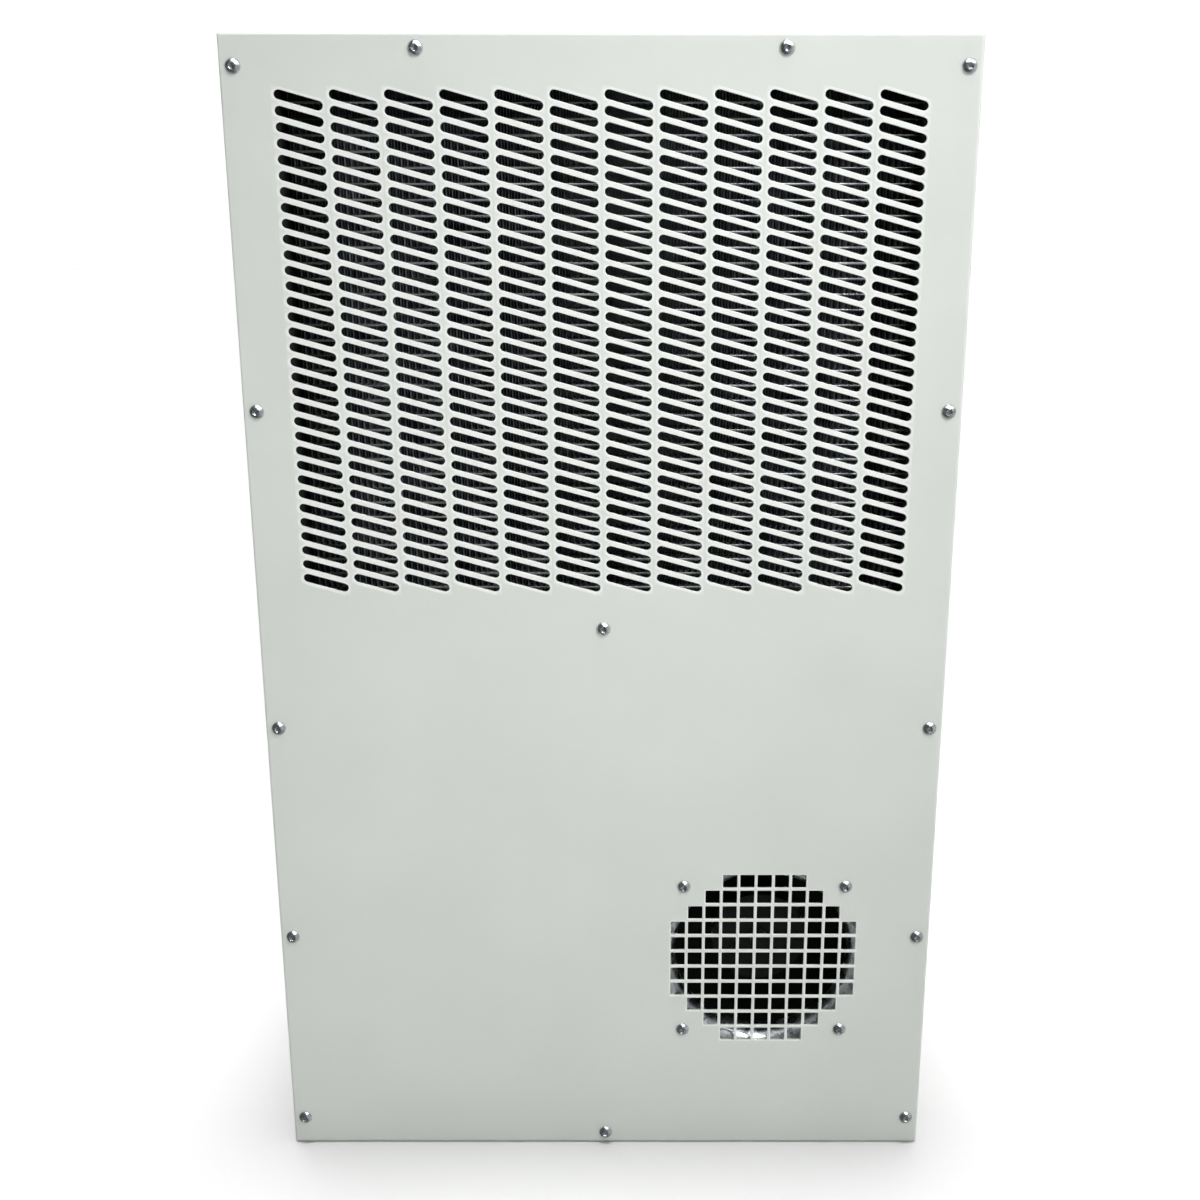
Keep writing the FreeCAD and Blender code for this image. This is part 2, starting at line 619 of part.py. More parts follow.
def casing_rivets():
    """Blind rivets that hold the side walls to the roof and floor tabs."""
    tail = 2 * SHEET + RIVET_TAIL
    profile = [(0, -RIVET_HEAD), (RIVET_HEAD_TOP_RADIUS, -RIVET_HEAD), (RIVET_HEAD_RADIUS, 0),
               (RIVET_RADIUS, 0), (RIVET_RADIUS, 2 * SHEET), (RIVET_TAIL_RADIUS, 2 * SHEET),
               (RIVET_RADIUS, tail), (0, tail)]
    rivets = []
    for side in (-1, 1):
        rivet = turned(profile)
        rivet.rotate(vec(0, 0, 0), vec(0, 0, 1), 90 * side)
        for y, z in rivet_places():
            placed = rivet.copy()
            placed.translate(vec(side * BODY_HALF, y, z))
            rivets.append(placed)
    return group(rivets)


def partition():
    """Folded sheet between outside air and cabinet air, stepped forward above the compressor bay."""
    half = WALL_INSIDE - PARTITION_SIDE_GAP
    step = PARTITION_STEP_HEIGHT
    lower = block(-half, half, LOWER_PARTITION, LOWER_PARTITION + PARTITION, FLOOR_TOP, step + PARTITION)
    shelf = block(-half, half, UPPER_PARTITION, LOWER_PARTITION, step, step + PARTITION)
    upper = block(-half, half, UPPER_PARTITION, UPPER_PARTITION + PARTITION, step, ROOF_UNDER)
    sheet = fused(lower, shelf, upper)
    for x, z, radius in pipe_passages():
        hole = radius + PIPE_GROMMET_WALL
        sheet = sheet.cut(rod(hole, vec(x, LOWER_PARTITION, z), vec(x, LOWER_PARTITION + PARTITION, z)))
    return sheet


def pipe_passages():
    """Where pipes cross the lower partition, as (x, z, pipe radius)."""
    last = COIL_TUBE_ROWS - 1
    return [(HEADER_X, coil_row_z(0), PIPE_RADIUS), (SUCTION_X, coil_row_z(last), SUCTION_RADIUS)]


def pipe_grommets():
    """Rubber bushes that seal the pipes in the partition."""
    bushes = []
    for x, z, radius in pipe_passages():
        bore = radius + SEAT_GAP
        hole = radius + PIPE_GROMMET_WALL
        lip = hole + PIPE_GROMMET_LIP
        front = -PIPE_GROMMET_LIP_THICKNESS
        back = PARTITION + PIPE_GROMMET_LIP_THICKNESS
        bush = turned([(bore, front), (lip, front), (lip, 0), (hole, 0), (hole, PARTITION),
                       (lip, PARTITION), (lip, back), (bore, back)])
        bushes.append(facing(bush, x, LOWER_PARTITION, z))
    return group(bushes)


def cross_rail():
    """Rail across the casing: takes the middle cover screw, and its lip carries the condenser."""
    strip_half = BODY_HALF - FLANGE - COVER_GAP
    low = MID_SCREW_Z - RAIL_HEIGHT / 2
    strip = block(-strip_half, strip_half, FRAME_FRONT, FRAME_FRONT + SHEET, low, CORE_BOTTOM)
    back_y = FRAME_FRONT + SHEET
    backing_half = WALL_INSIDE - PARTITION_SIDE_GAP
    backing = block(-backing_half, backing_half, back_y, back_y + SHEET, low, CORE_BOTTOM)
    lip_half = HEADER_X - HEADER_RADIUS - CLAMP_WALL
    lip_back = CORE_FRONT + CORE_DEPTH + RAIL_LIP_BEYOND
    lip = block(-lip_half, lip_half, back_y, lip_back, CORE_BOTTOM - SHEET, CORE_BOTTOM)
    hole = rod(SCREW_HOLE, vec(0, FRAME_FRONT, MID_SCREW_Z), vec(0, back_y + SHEET, MID_SCREW_Z))
    return fused(strip, backing, lip).cut(hole)


def cover_seal():
    """Foam strip between the cover and the casing flanges, with a bar along the cross rail."""
    strip = FLANGE - COVER_GAP
    low = MID_SCREW_Z - RAIL_HEIGHT / 2
    inner_x = BODY_HALF - strip
    outline = rounded_outline(-BODY_HALF, BODY_HALF, COVER_BACK, BODY_BOTTOM, BODY_TOP, COVER_CORNER)
    holes = [rectangle_hole(-inner_x, inner_x, COVER_BACK, BODY_BOTTOM + strip, low),
             rectangle_hole(-inner_x, inner_x, COVER_BACK, low + RAIL_HEIGHT, BODY_TOP - strip)]
    holes += [round_wire(SCREW_HOLE, x, COVER_BACK, z) for x, z in cover_screw_places()]
    return plate_with_holes(outline, holes, COVER_SEAL)


def rear_seal():
    """Foam strip on the rear plate that seals the unit to the cabinet wall."""
    outer_x = HALF_WIDTH - REAR_SEAL_INSET
    inner_x = outer_x - REAR_SEAL_WIDTH
    low = REAR_SEAL_INSET
    high = CASING_HEIGHT - REAR_SEAL_INSET
    outline = rounded_outline(-outer_x, outer_x, REAR_Y, low, high, REAR_CORNER)
    gap = rectangle_hole(-inner_x, inner_x, REAR_Y, low + REAR_SEAL_WIDTH, high - REAR_SEAL_WIDTH)
    return plate_with_holes(outline, [gap], REAR_SEAL)


# Fasteners

def button_screw(grip):
    """Socket button-head screw; its head stands at negative Y and its shank runs along +Y."""
    centre = (HEAD_RADIUS ** 2 - HEAD_FLAT ** 2 - HEAD_HEIGHT ** 2) / (2 * HEAD_HEIGHT)
    dome_radius = math.hypot(HEAD_RADIUS, centre)
    rise = (math.asin(HEAD_FLAT / dome_radius) + math.asin(HEAD_RADIUS / dome_radius)) / 2
    crown = vec(dome_radius * math.sin(rise), centre - dome_radius * math.cos(rise), 0)
    dome = Part.Arc(vec(HEAD_FLAT, -HEAD_HEIGHT, 0), crown, vec(HEAD_RADIUS, 0, 0)).toShape()
    outline = [vec(HEAD_RADIUS, 0, 0), vec(SCREW_RADIUS, 0, 0), vec(SCREW_RADIUS, grip, 0), vec(0, grip, 0),
               vec(0, -HEAD_HEIGHT, 0), vec(HEAD_FLAT, -HEAD_HEIGHT, 0)]
    lines = [Part.LineSegment(a, b).toShape() for a, b in zip(outline, outline[1:])]
    screw = Part.Face(Part.Wire([dome] + lines)).revolve(vec(0, 0, 0), vec(0, 1, 0), 360)
    reach = SOCKET_FLATS / math.sqrt(3)
    turns = [math.radians(60 * i) for i in range(6)]
    corners = [vec(reach * math.cos(t), -HEAD_HEIGHT, reach * math.sin(t)) for t in turns]
    socket = Part.Face(polygon(corners)).extrude(vec(0, SOCKET_DEPTH, 0))
    return screw.cut(socket)


def screws_at(places, panel_y, grip, from_rear=False):
    screw = button_screw(grip)
    return group([facing(screw, x, panel_y, z, from_rear) for x, z in places])


def nuts_at(places, seat_y, from_rear=False):
    """Round clinch nuts pressed against the back of a flange."""
    nut = ring(NUT_RADIUS, SCREW_RADIUS + NUT_THREAD_GAP, vec(0, 0, 0), vec(0, NUT_HEIGHT, 0))
    return group([facing(nut, x, seat_y, z, from_rear) for x, z in places])


def cover_screws():
    grip = SHEET + COVER_SEAL + 2 * SHEET + NUT_HEIGHT + SCREW_TIP
    return screws_at(cover_screw_places(), FRONT_Y, grip)


def short_screws():
    """Screws of the rear plate and of both inlet rings."""
    grip = 2 * SHEET + NUT_HEIGHT + SCREW_TIP
    front = screws_at(ring_bolt_places(FRONT_FAN_X, FRONT_FAN_Z), FRONT_Y, grip)
    rear = screws_at(ring_bolt_places(REAR_FAN_X, REAR_FAN_Z) + rear_screw_places(), REAR_Y, grip, True)
    return group(front.Solids + rear.Solids)


def clinch_nuts():
    """Nuts behind the casing flanges, the cross rail and the inlet rings."""
    flange_back = FRAME_FRONT + SHEET
    solids = []
    for x, z in cover_screw_places():
        on_rail = abs(z - MID_SCREW_Z) < RAIL_HEIGHT / 2
        solids += nuts_at([(x, z)], flange_back + SHEET if on_rail else flange_back).Solids
    solids += nuts_at(rear_screw_places(), FRAME_REAR - SHEET, True).Solids
    solids += nuts_at(ring_bolt_places(FRONT_FAN_X, FRONT_FAN_Z), COVER_BACK + RING_SHEET).Solids
    solids += nuts_at(ring_bolt_places(REAR_FAN_X, REAR_FAN_Z), FRAME_REAR - RING_SHEET, True).Solids
    return group(solids)


def mounting_rivet_nuts():
    """Threaded rivet nuts that take the bolts from inside the cabinet."""
    nut = turned([(MOUNT_THREAD_RADIUS, -MOUNT_HEAD), (MOUNT_HEAD_RADIUS, -MOUNT_HEAD),
                  (MOUNT_HEAD_RADIUS, 0), (MOUNT_BODY_RADIUS, 0), (MOUNT_BODY_RADIUS, MOUNT_BODY),
                  (MOUNT_THREAD_RADIUS, MOUNT_BODY)])
    return group([facing(nut, x, REAR_Y, z, True) for x, z in mount_places()])


# Condenser

def flat_tube(z):
    """One round-edged flat tube of the condenser."""
    reach = HEADER_X - TUBE_IN_HEADER
    half = TUBE_HEIGHT / 2
    front = CORE_FRONT + half
    back = CORE_FRONT + CORE_DEPTH - half

    def at(y, height):
        return vec(-reach, y, z + height)

    edges = [
        Part.LineSegment(at(front, half), at(back, half)).toShape(),
        Part.Arc(at(back, half), at(back + half, 0), at(back, -half)).toShape(),
        Part.LineSegment(at(back, -half), at(front, -half)).toShape(),
        Part.Arc(at(front, -half), at(front - half, 0), at(front, half)).toShape(),
    ]
    return Part.Face(Part.Wire(edges)).extrude(vec(2 * reach, 0, 0))


def condenser_tubes():
    first = FIN_START + FIN_HEIGHT + TUBE_HEIGHT / 2
    return group([flat_tube(first + i * TUBE_PITCH) for i in range(TUBE_COUNT)])


def condenser_fins():
    """One band of folded fin in each gap between tubes, as the space that its folds fill."""
    half = HEADER_X - HEADER_RADIUS - FIN_END_GAP
    bands = []
    for i in range(TUBE_COUNT + 1):
        low = FIN_START + i * TUBE_PITCH
        bands.append(block(-half, half, CORE_FRONT, CORE_FRONT + CORE_DEPTH, low, low + FIN_HEIGHT))
    return group(bands)


def condenser_side_plates():
    half = HEADER_X - HEADER_RADIUS - FIN_END_GAP
    plates = [block(-half, half, CORE_FRONT, CORE_FRONT + CORE_DEPTH, z, z + SIDE_PLATE)
              for z in (CORE_BOTTOM, CORE_TOP - SIDE_PLATE)]
    return group(plates)


def condenser_headers():
    """Closed manifold tubes at both ends, slotted for the flat tubes and bored for their pipes."""
    low = CORE_BOTTOM - HEADER_OVERRUN
    high = CORE_TOP + HEADER_OVERRUN
    shell = rod(HEADER_RADIUS, vec(HEADER_X, CORE_Y, low), vec(HEADER_X, CORE_Y, high))
    shell = shell.makeFillet(HEADER_EDGE, [e for e in shell.Edges if e.Closed])
    inside = rod(HEADER_RADIUS - HEADER_WALL, vec(HEADER_X, CORE_Y, low + HEADER_EDGE),
                 vec(HEADER_X, CORE_Y, high - HEADER_EDGE))
    right = shell.cut(inside).cut(condenser_tubes())
    left = right.mirror(vec(0, 0, 0), vec(1, 0, 0))
    ported = []
    for header, x, z in ((left, -HEADER_X, DISCHARGE_ENTRY_Z), (right, HEADER_X, LIQUID_EXIT_Z)):
        ported.append(header.cut(rod(PIPE_RADIUS, vec(x, CORE_Y, z), vec(x, CORE_Y + HEADER_RADIUS, z))))
    return group(ported)


def condenser_clamps():
    """Clips round the headers that hold the condenser to the side walls."""
    clips = []
    for side in (-1, 1):
        for z in (CORE_BOTTOM + CLAMP_INSET, CORE_TOP - CLAMP_INSET):
            x = side * HEADER_X
            low = z - CLAMP_HEIGHT / 2
            high = z + CLAMP_HEIGHT / 2
            bore = HEADER_RADIUS + SEAT_GAP
            tab_x = sorted((x + side * HEADER_RADIUS, side * WALL_INSIDE))
            tab = block(*tab_x, CORE_Y - CLAMP_TAB / 2, CORE_Y + CLAMP_TAB / 2, low, high)
            collar = rod(bore + CLAMP_WALL, vec(x, CORE_Y, low), vec(x, CORE_Y, high))
            opening = block(*sorted((x, x - side * 2 * HEADER_RADIUS)), CORE_Y - HEADER_RADIUS * 2,
                            CORE_Y + HEADER_RADIUS * 2, low, high)
            bored = fused(collar, tab).cut(rod(bore, vec(x, CORE_Y, low), vec(x, CORE_Y, high)))
            clips.append(bored.cut(opening))
    return group(clips)


# Fans: the same fan is used on both sides, drawn with its axis along +Y from the panel's inner face

SHROUD_FRONT = RING_DEPTH
SHROUD_BACK = SHROUD_FRONT + IMPELLER_PLATE
PLATE_FRONT = SHROUD_BACK + BLADE_HEIGHT
PLATE_BACK = PLATE_FRONT + IMPELLER_PLATE
ROTOR_BACK = PLATE_BACK + ROTOR_FLANGE_THICKNESS
STATOR_FRONT = ROTOR_FACE_DEPTH + ROTOR_WALL + STATOR_INSET
MOTOR_FLANGE_FRONT = ROTOR_BACK + MOTOR_FLANGE_GAP
MOTOR_FLANGE_BACK = MOTOR_FLANGE_FRONT + MOTOR_FLANGE
BEARING_TUBE_BACK = MOTOR_FLANGE_BACK + BEARING_TUBE_BEYOND
COLLAR_FRONT = BEARING_TUBE_BACK + THRUST_GAP


def inlet_ring():
    """Pressed bell-mouth that guides air into the impeller."""
    throat = RING_THROAT_RADIUS
    wall = RING_SHEET
    mouth = throat + RING_CURVE
    lean = math.sqrt(0.5)

    def line(a, b):
        return Part.LineSegment(vec(*a, 0), vec(*b, 0)).toShape()

    def quarter(radius):
        points = [(mouth, RING_CURVE - radius), (mouth - radius * lean, RING_CURVE - radius * lean),
                  (mouth - radius, RING_CURVE)]
        return Part.Arc(*[vec(*p, 0) for p in points]).toShape()

    edges = [
        line((RING_FLANGE_RADIUS, 0), (mouth, 0)),
        quarter(RING_CURVE),
        line((throat, RING_CURVE), (throat, RING_DEPTH)),
        line((throat, RING_DEPTH), (throat + wall, RING_DEPTH)),
        line((throat + wall, RING_DEPTH), (throat + wall, RING_CURVE)),
        quarter(RING_CURVE - wall),
        line((mouth, wall), (RING_FLANGE_RADIUS, wall)),
        line((RING_FLANGE_RADIUS, wall), (RING_FLANGE_RADIUS, 0)),
    ]
    pressed = Part.Face(Part.Wire(edges)).revolve(vec(0, 0, 0), vec(0, 1, 0), 360)
    half = RING_BOLT_SQUARE / 2
    drills = [rod(SCREW_HOLE, vec(i * half, 0, k * half), vec(i * half, wall, k * half))
              for i in (-1, 1) for k in (-1, 1)]
    return pressed.cut(group(drills))


def blade(turn):
    """One backward-curved blade between the shroud and the back plate."""
    def at(radius, degrees):
        angle = math.radians(turn + degrees)
        return vec(radius * math.cos(angle), SHROUD_BACK - IMPELLER_PLATE / 2, radius * math.sin(angle))

    outer = IMPELLER_RADIUS - IMPELLER_PLATE
    middle = (BLADE_INNER_RADIUS + outer) / 2
    stations = [(BLADE_INNER_RADIUS, 0.0), (middle, -BLADE_MID_SWEEP), (outer, -BLADE_SWEEP)]
    lag = [math.degrees(BLADE_THICKNESS / r) for r, _ in stations]
    leading = [at(r, a) for r, a in stations]
    trailing = [at(r, a - 2 * d) for (r, a), d in zip(stations, lag)]
    edges = [
        Part.Arc(*leading).toShape(),
        Part.LineSegment(leading[2], trailing[2]).toShape(),
        Part.Arc(trailing[2], trailing[1], trailing[0]).toShape(),
        Part.LineSegment(trailing[0], leading[0]).toShape(),
    ]
    return Part.Face(Part.Wire(edges)).extrude(vec(0, BLADE_HEIGHT + IMPELLER_PLATE, 0))


def impeller():
    """Moulded centrifugal wheel: shroud with inlet collar, blades and back plate in one piece."""
    inlet = RING_THROAT_RADIUS + RING_SHEET + IMPELLER_INLET_GAP
    collar = inlet + IMPELLER_COLLAR_WALL
    collar_front = SHROUD_FRONT - IMPELLER_OVERLAP
    shroud = turned([(inlet, collar_front), (collar, collar_front), (collar, SHROUD_FRONT),
                     (IMPELLER_RADIUS, SHROUD_FRONT), (IMPELLER_RADIUS, SHROUD_BACK), (inlet, SHROUD_BACK)])
    hub = ROTOR_RADIUS + SEAT_GAP
    plate = turned([(hub, PLATE_FRONT), (IMPELLER_RADIUS, PLATE_FRONT), (IMPELLER_RADIUS, PLATE_BACK),
                    (hub, PLATE_BACK)])
    return fused(shroud, plate, *[blade(360 * i / BLADE_COUNT) for i in range(BLADE_COUNT)])


def fan_rotor():
    """Motor rotor cup with its shaft and end collar; the impeller sits on the cup against its flange."""
    cup_inside = ROTOR_RADIUS - ROTOR_WALL
    face_back = ROTOR_FACE_DEPTH + ROTOR_WALL
    boss_back = STATOR_FRONT - THRUST_GAP
    collar_back = COLLAR_FRONT + COLLAR_THICKNESS
    shaft_end = collar_back + SHAFT_BEYOND
    nose = ROTOR_FACE_DEPTH - NOSE_LENGTH
    flange = ROTOR_RADIUS + ROTOR_FLANGE
    return turned([(0, nose), (NOSE_RADIUS, nose), (NOSE_RADIUS, ROTOR_FACE_DEPTH),
                   (ROTOR_RADIUS, ROTOR_FACE_DEPTH), (ROTOR_RADIUS, PLATE_BACK), (flange, PLATE_BACK),
                   (flange, ROTOR_BACK), (cup_inside, ROTOR_BACK), (cup_inside, face_back),
                   (SHAFT_BOSS_RADIUS, face_back), (SHAFT_BOSS_RADIUS, boss_back), (SHAFT_RADIUS, boss_back),
                   (SHAFT_RADIUS, COLLAR_FRONT), (COLLAR_RADIUS, COLLAR_FRONT), (COLLAR_RADIUS, collar_back),
                   (SHAFT_RADIUS, collar_back), (SHAFT_RADIUS, shaft_end), (0, shaft_end)])


def fan_stator():
    """Motor stator with its bearing tube and fixing flange."""
    core = ROTOR_RADIUS - ROTOR_WALL - AIR_GAP
    core_back = STATOR_FRONT + STATOR_CORE_LENGTH
    return turned([(BEARING_RADIUS, STATOR_FRONT), (core, STATOR_FRONT), (core, core_back),
                   (BEARING_TUBE_RADIUS, core_back), (BEARING_TUBE_RADIUS, MOTOR_FLANGE_FRONT),
                   (MOTOR_FLANGE_RADIUS, MOTOR_FLANGE_FRONT), (MOTOR_FLANGE_RADIUS, MOTOR_FLANGE_BACK),
                   (BEARING_TUBE_RADIUS, MOTOR_FLANGE_BACK), (BEARING_TUBE_RADIUS, BEARING_TUBE_BACK),
                   (BEARING_RADIUS, BEARING_TUBE_BACK)])


def fan_bearings():
    bore = SHAFT_RADIUS + SHAFT_RUNNING_GAP
    starts = (STATOR_FRONT, BEARING_TUBE_BACK - BEARING_LENGTH)
    return group([ring(BEARING_RADIUS, bore, vec(0, s, 0), vec(0, s + BEARING_LENGTH, 0)) for s in starts])


def fan_bracket(reach):
    """Hat-shaped bracket from the motor flange back to the partition, reach mm from the panel."""
    wide = BRACKET_HALF_WIDTH
    tall = BRACKET_HALF_HEIGHT
    plate_back = MOTOR_FLANGE_BACK + BRACKET_SHEET
    plate = block(-wide, wide, MOTOR_FLANGE_BACK, plate_back, -tall, tall)
    hole = rod(BEARING_TUBE_RADIUS + BRACKET_HOLE_GAP, vec(0, MOTOR_FLANGE_BACK, 0), vec(0, plate_back, 0))
    limbs = []
    for side in (-1, 1):
        leg_x = sorted((side * wide, side * (wide - BRACKET_SHEET)))
        foot_x = sorted((side * wide, side * (wide + BRACKET_FOOT)))
        limbs.append(block(*leg_x, MOTOR_FLANGE_BACK, reach, -tall, tall))
        limbs.append(block(*foot_x, reach - BRACKET_SHEET, reach, -tall, tall))
    return fused(plate, *limbs).cut(hole)


def on_both_panels(front_shape, rear_shape):
    """A fan piece set behind the cover and behind the rear plate, as two solids or groups."""
    front = facing(front_shape, FRONT_FAN_X, COVER_BACK, FRONT_FAN_Z)
    rear = facing(rear_shape, REAR_FAN_X, FRAME_REAR, REAR_FAN_Z, True)
    return front, rear


def fan_parts():
    """The pieces of both fans; what turns has a node for each fan, and what stands still is grouped."""
    parts = {}
    for name, shape in (("impeller", impeller()), ("rotor", fan_rotor())):
        front, rear = on_both_panels(shape, shape)
        parts["condenser_fan_" + name] = front
        parts["evaporator_fan_" + name] = rear
    still = (("inlet_rings", inlet_ring()), ("stators", fan_stator()), ("bearings", fan_bearings()))
    for name, shape in still:
        front, rear = on_both_panels(shape, shape)
        parts["fan_" + name] = group(front.Solids + rear.Solids)
    brackets = on_both_panels(fan_bracket(LOWER_PARTITION - COVER_BACK),
                              fan_bracket(FRAME_REAR - UPPER_PARTITION - PARTITION))
    parts["fan_brackets"] = group(list(brackets))
    return parts


# Compressor

def compressor_body():
    """Drawn steel cup of the compressor, open at the top."""
    r = COMPRESSOR_RADIUS
    w = COMPRESSOR_WALL
    e = COMPRESSOR_EDGE
    return turned_upright([(0, SHELL_BOTTOM), (r - e, SHELL_BOTTOM), (r, SHELL_BOTTOM + e), (r, SHELL_JOIN),
                           (r - w, SHELL_JOIN), (r - w, SHELL_BOTTOM + e), (r - w - e / 2, SHELL_BOTTOM + w),
                           (0, SHELL_BOTTOM + w)], COMPRESSOR_X, COMPRESSOR_Y)


def compressor_cap():
    """Domed lid welded on the cup."""
    r = COMPRESSOR_RADIUS
    w = COMPRESSOR_WALL
    flat = COMPRESSOR_CAP_FLAT
    bend_z = SHELL_TOP - COMPRESSOR_EDGE
    return turned_upright([(r, SHELL_JOIN), (r, bend_z - COMPRESSOR_EDGE), (r - COMPRESSOR_EDGE, bend_z),
                           (flat, SHELL_TOP), (0, SHELL_TOP), (0, SHELL_TOP - w), (flat - w, SHELL_TOP - w),
                           (r - COMPRESSOR_EDGE - w, bend_z - w), (r - w, bend_z - COMPRESSOR_EDGE - w),
                           (r - w, SHELL_JOIN)], COMPRESSOR_X, COMPRESSOR_Y)


def foot_places():
    """Centres of the three mounting feet."""
    turns = [math.radians(120 * i) for i in range(3)]
    return [(COMPRESSOR_X + FOOT_CIRCLE * math.cos(t), COMPRESSOR_Y + FOOT_CIRCLE * math.sin(t))
            for t in turns]


def upright(radius, place, low, high):
    x, y = place
    return rod(radius, vec(x, y, low), vec(x, y, high))


def compressor_feet():
    """Three-lobed plate welded under the compressor."""
    centre = (COMPRESSOR_X, COMPRESSOR_Y)
    plate = upright(COMPRESSOR_RADIUS - COMPRESSOR_EDGE, centre, FEET_BOTTOM, SHELL_BOTTOM)
    lobes = []
    for i, place in enumerate(foot_places()):
        lobes.append(upright(FOOT_LOBE, place, FEET_BOTTOM, SHELL_BOTTOM))
        arm = block(COMPRESSOR_X, COMPRESSOR_X + FOOT_CIRCLE, COMPRESSOR_Y - FOOT_LOBE,
                    COMPRESSOR_Y + FOOT_LOBE, FEET_BOTTOM, SHELL_BOTTOM)
        arm.rotate(vec(*centre, 0), vec(0, 0, 1), 120 * i)
        lobes.append(arm)
    hole = GROMMET_NECK_RADIUS + SEAT_GAP
    holes = [upright(hole, place, FEET_BOTTOM, SHELL_BOTTOM) for place in foot_places()]
    return fused(plate, *lobes).cut(group(holes))


def compressor_grommets():
    """Rubber feet that carry the compressor on the floor sheet."""
    bore = STUD_RADIUS + SEAT_GAP
    top = SHELL_BOTTOM + GROMMET_TOP
    profile = [(bore, FLOOR_TOP), (GROMMET_RADIUS, FLOOR_TOP), (GROMMET_RADIUS, FEET_BOTTOM),
               (GROMMET_NECK_RADIUS, FEET_BOTTOM), (GROMMET_NECK_RADIUS, SHELL_BOTTOM),
               (GROMMET_TOP_RADIUS, SHELL_BOTTOM), (GROMMET_TOP_RADIUS, top), (bore, top)]
    return group([turned_upright(profile, x, y) for x, y in foot_places()])


def compressor_studs():
    """Studs welded to the floor sheet, each with its nut."""
    nut_low = SHELL_BOTTOM + GROMMET_TOP
    nut_high = nut_low + STUD_NUT_HEIGHT
    top = nut_high + STUD_BEYOND
    profile = [(0, FLOOR_TOP), (STUD_RADIUS, FLOOR_TOP), (STUD_RADIUS, nut_low), (STUD_NUT_RADIUS, nut_low),
               (STUD_NUT_RADIUS, nut_high), (STUD_RADIUS, nut_high), (STUD_RADIUS, top), (0, top)]
    return group([turned_upright(profile, x, y) for x, y in foot_places()])


def compressor_pump():
    """Cylinder block with the crankshaft's bearing, pressed into the cup."""
    outer = COMPRESSOR_RADIUS - COMPRESSOR_WALL - SEAT_GAP
    low = SHELL_BOTTOM + COMPRESSOR_EDGE
    high = low + PUMP_HEIGHT
    bore = CRANK_RADIUS + SHAFT_RUNNING_GAP
    return turned_upright([(0, low), (outer, low), (outer, high), (bore, high), (bore, low + PUMP_FLOOR),
                           (0, low + PUMP_FLOOR)], COMPRESSOR_X, COMPRESSOR_Y)


def compressor_rotor():
    """Motor rotor on the crankshaft, which stands in the pump's bearing."""
    low = SHELL_BOTTOM + COMPRESSOR_EDGE + PUMP_FLOOR + THRUST_GAP
    rotor_low = SHELL_BOTTOM + COMPRESSOR_EDGE + MOTOR_ROTOR_LIFT
    rotor_high = rotor_low + MOTOR_ROTOR_HEIGHT
    top = low + CRANK_LENGTH
    return turned_upright([(0, low), (CRANK_RADIUS, low), (CRANK_RADIUS, rotor_low),
                           (MOTOR_ROTOR_RADIUS, rotor_low), (MOTOR_ROTOR_RADIUS, rotor_high),
                           (CRANK_RADIUS, rotor_high), (CRANK_RADIUS, top), (0, top)],
                          COMPRESSOR_X, COMPRESSOR_Y)


def compressor_stator():
    """Motor stator ring, pressed into the cup round the rotor."""
    middle = SHELL_BOTTOM + COMPRESSOR_EDGE + MOTOR_ROTOR_LIFT + MOTOR_ROTOR_HEIGHT / 2
    low = middle - MOTOR_STATOR_HEIGHT / 2
    high = middle + MOTOR_STATOR_HEIGHT / 2
    return ring(COMPRESSOR_RADIUS - COMPRESSOR_WALL - SEAT_GAP, MOTOR_ROTOR_RADIUS + AIR_GAP,
                vec(COMPRESSOR_X, COMPRESSOR_Y, low), vec(COMPRESSOR_X, COMPRESSOR_Y, high))


def compressor_terminal_cover():
    place = (COMPRESSOR_X + TERMINAL_COVER_OFFSET, COMPRESSOR_Y)
    top = SHELL_TOP + TERMINAL_COVER_HEIGHT
    cover = upright(TERMINAL_COVER_RADIUS, place, SHELL_TOP, top)
    rims = [e for e in cover.Edges if e.Closed and e.BoundBox.ZMin > SHELL_TOP + TERMINAL_COVER_HEIGHT / 2]
    return cover.makeFillet(TERMINAL_COVER_EDGE, rims)


def accumulator():
    """Suction accumulator bottle beside the compressor."""
    low = ACCUMULATOR_BOTTOM
    high = ACCUMULATOR_TOP
    shoulder = ACCUMULATOR_SHOULDER
    wall = ACCUMULATOR_WALL
    outside = [(0, low), (ACCUMULATOR_NECK, low), (ACCUMULATOR_RADIUS, low + shoulder),
               (ACCUMULATOR_RADIUS, high - shoulder), (ACCUMULATOR_NECK, high), (0, high)]
    inside = [(0, low + shoulder), (ACCUMULATOR_RADIUS - wall, low + shoulder),
              (ACCUMULATOR_RADIUS - wall, high - shoulder), (0, high - shoulder)]
    bottle = turned_upright(outside, ACCUMULATOR_X, COMPRESSOR_Y)
    return bottle.cut(turned_upright(inside, ACCUMULATOR_X, COMPRESSOR_Y))


def accumulator_strap():
    """Strap that ties the accumulator to the compressor's shell."""
    middle = (ACCUMULATOR_BOTTOM + ACCUMULATOR_TOP) / 2
    low = middle - STRAP_HEIGHT / 2
    high = middle + STRAP_HEIGHT / 2
    inner = ACCUMULATOR_RADIUS + SEAT_GAP
    place = (ACCUMULATOR_X, COMPRESSOR_Y)
    lug = block(COMPRESSOR_X, ACCUMULATOR_X - ACCUMULATOR_RADIUS, COMPRESSOR_Y - STRAP_HEIGHT / 2,
                COMPRESSOR_Y + STRAP_HEIGHT / 2, low, high)
    lug = lug.cut(upright(COMPRESSOR_RADIUS + SEAT_GAP, (COMPRESSOR_X, COMPRESSOR_Y), low, high))
    band = upright(inner + STRAP_WALL, place, low, high)
    return fused(band, lug).cut(upright(inner, place, low, high))


# Refrigerant circuit

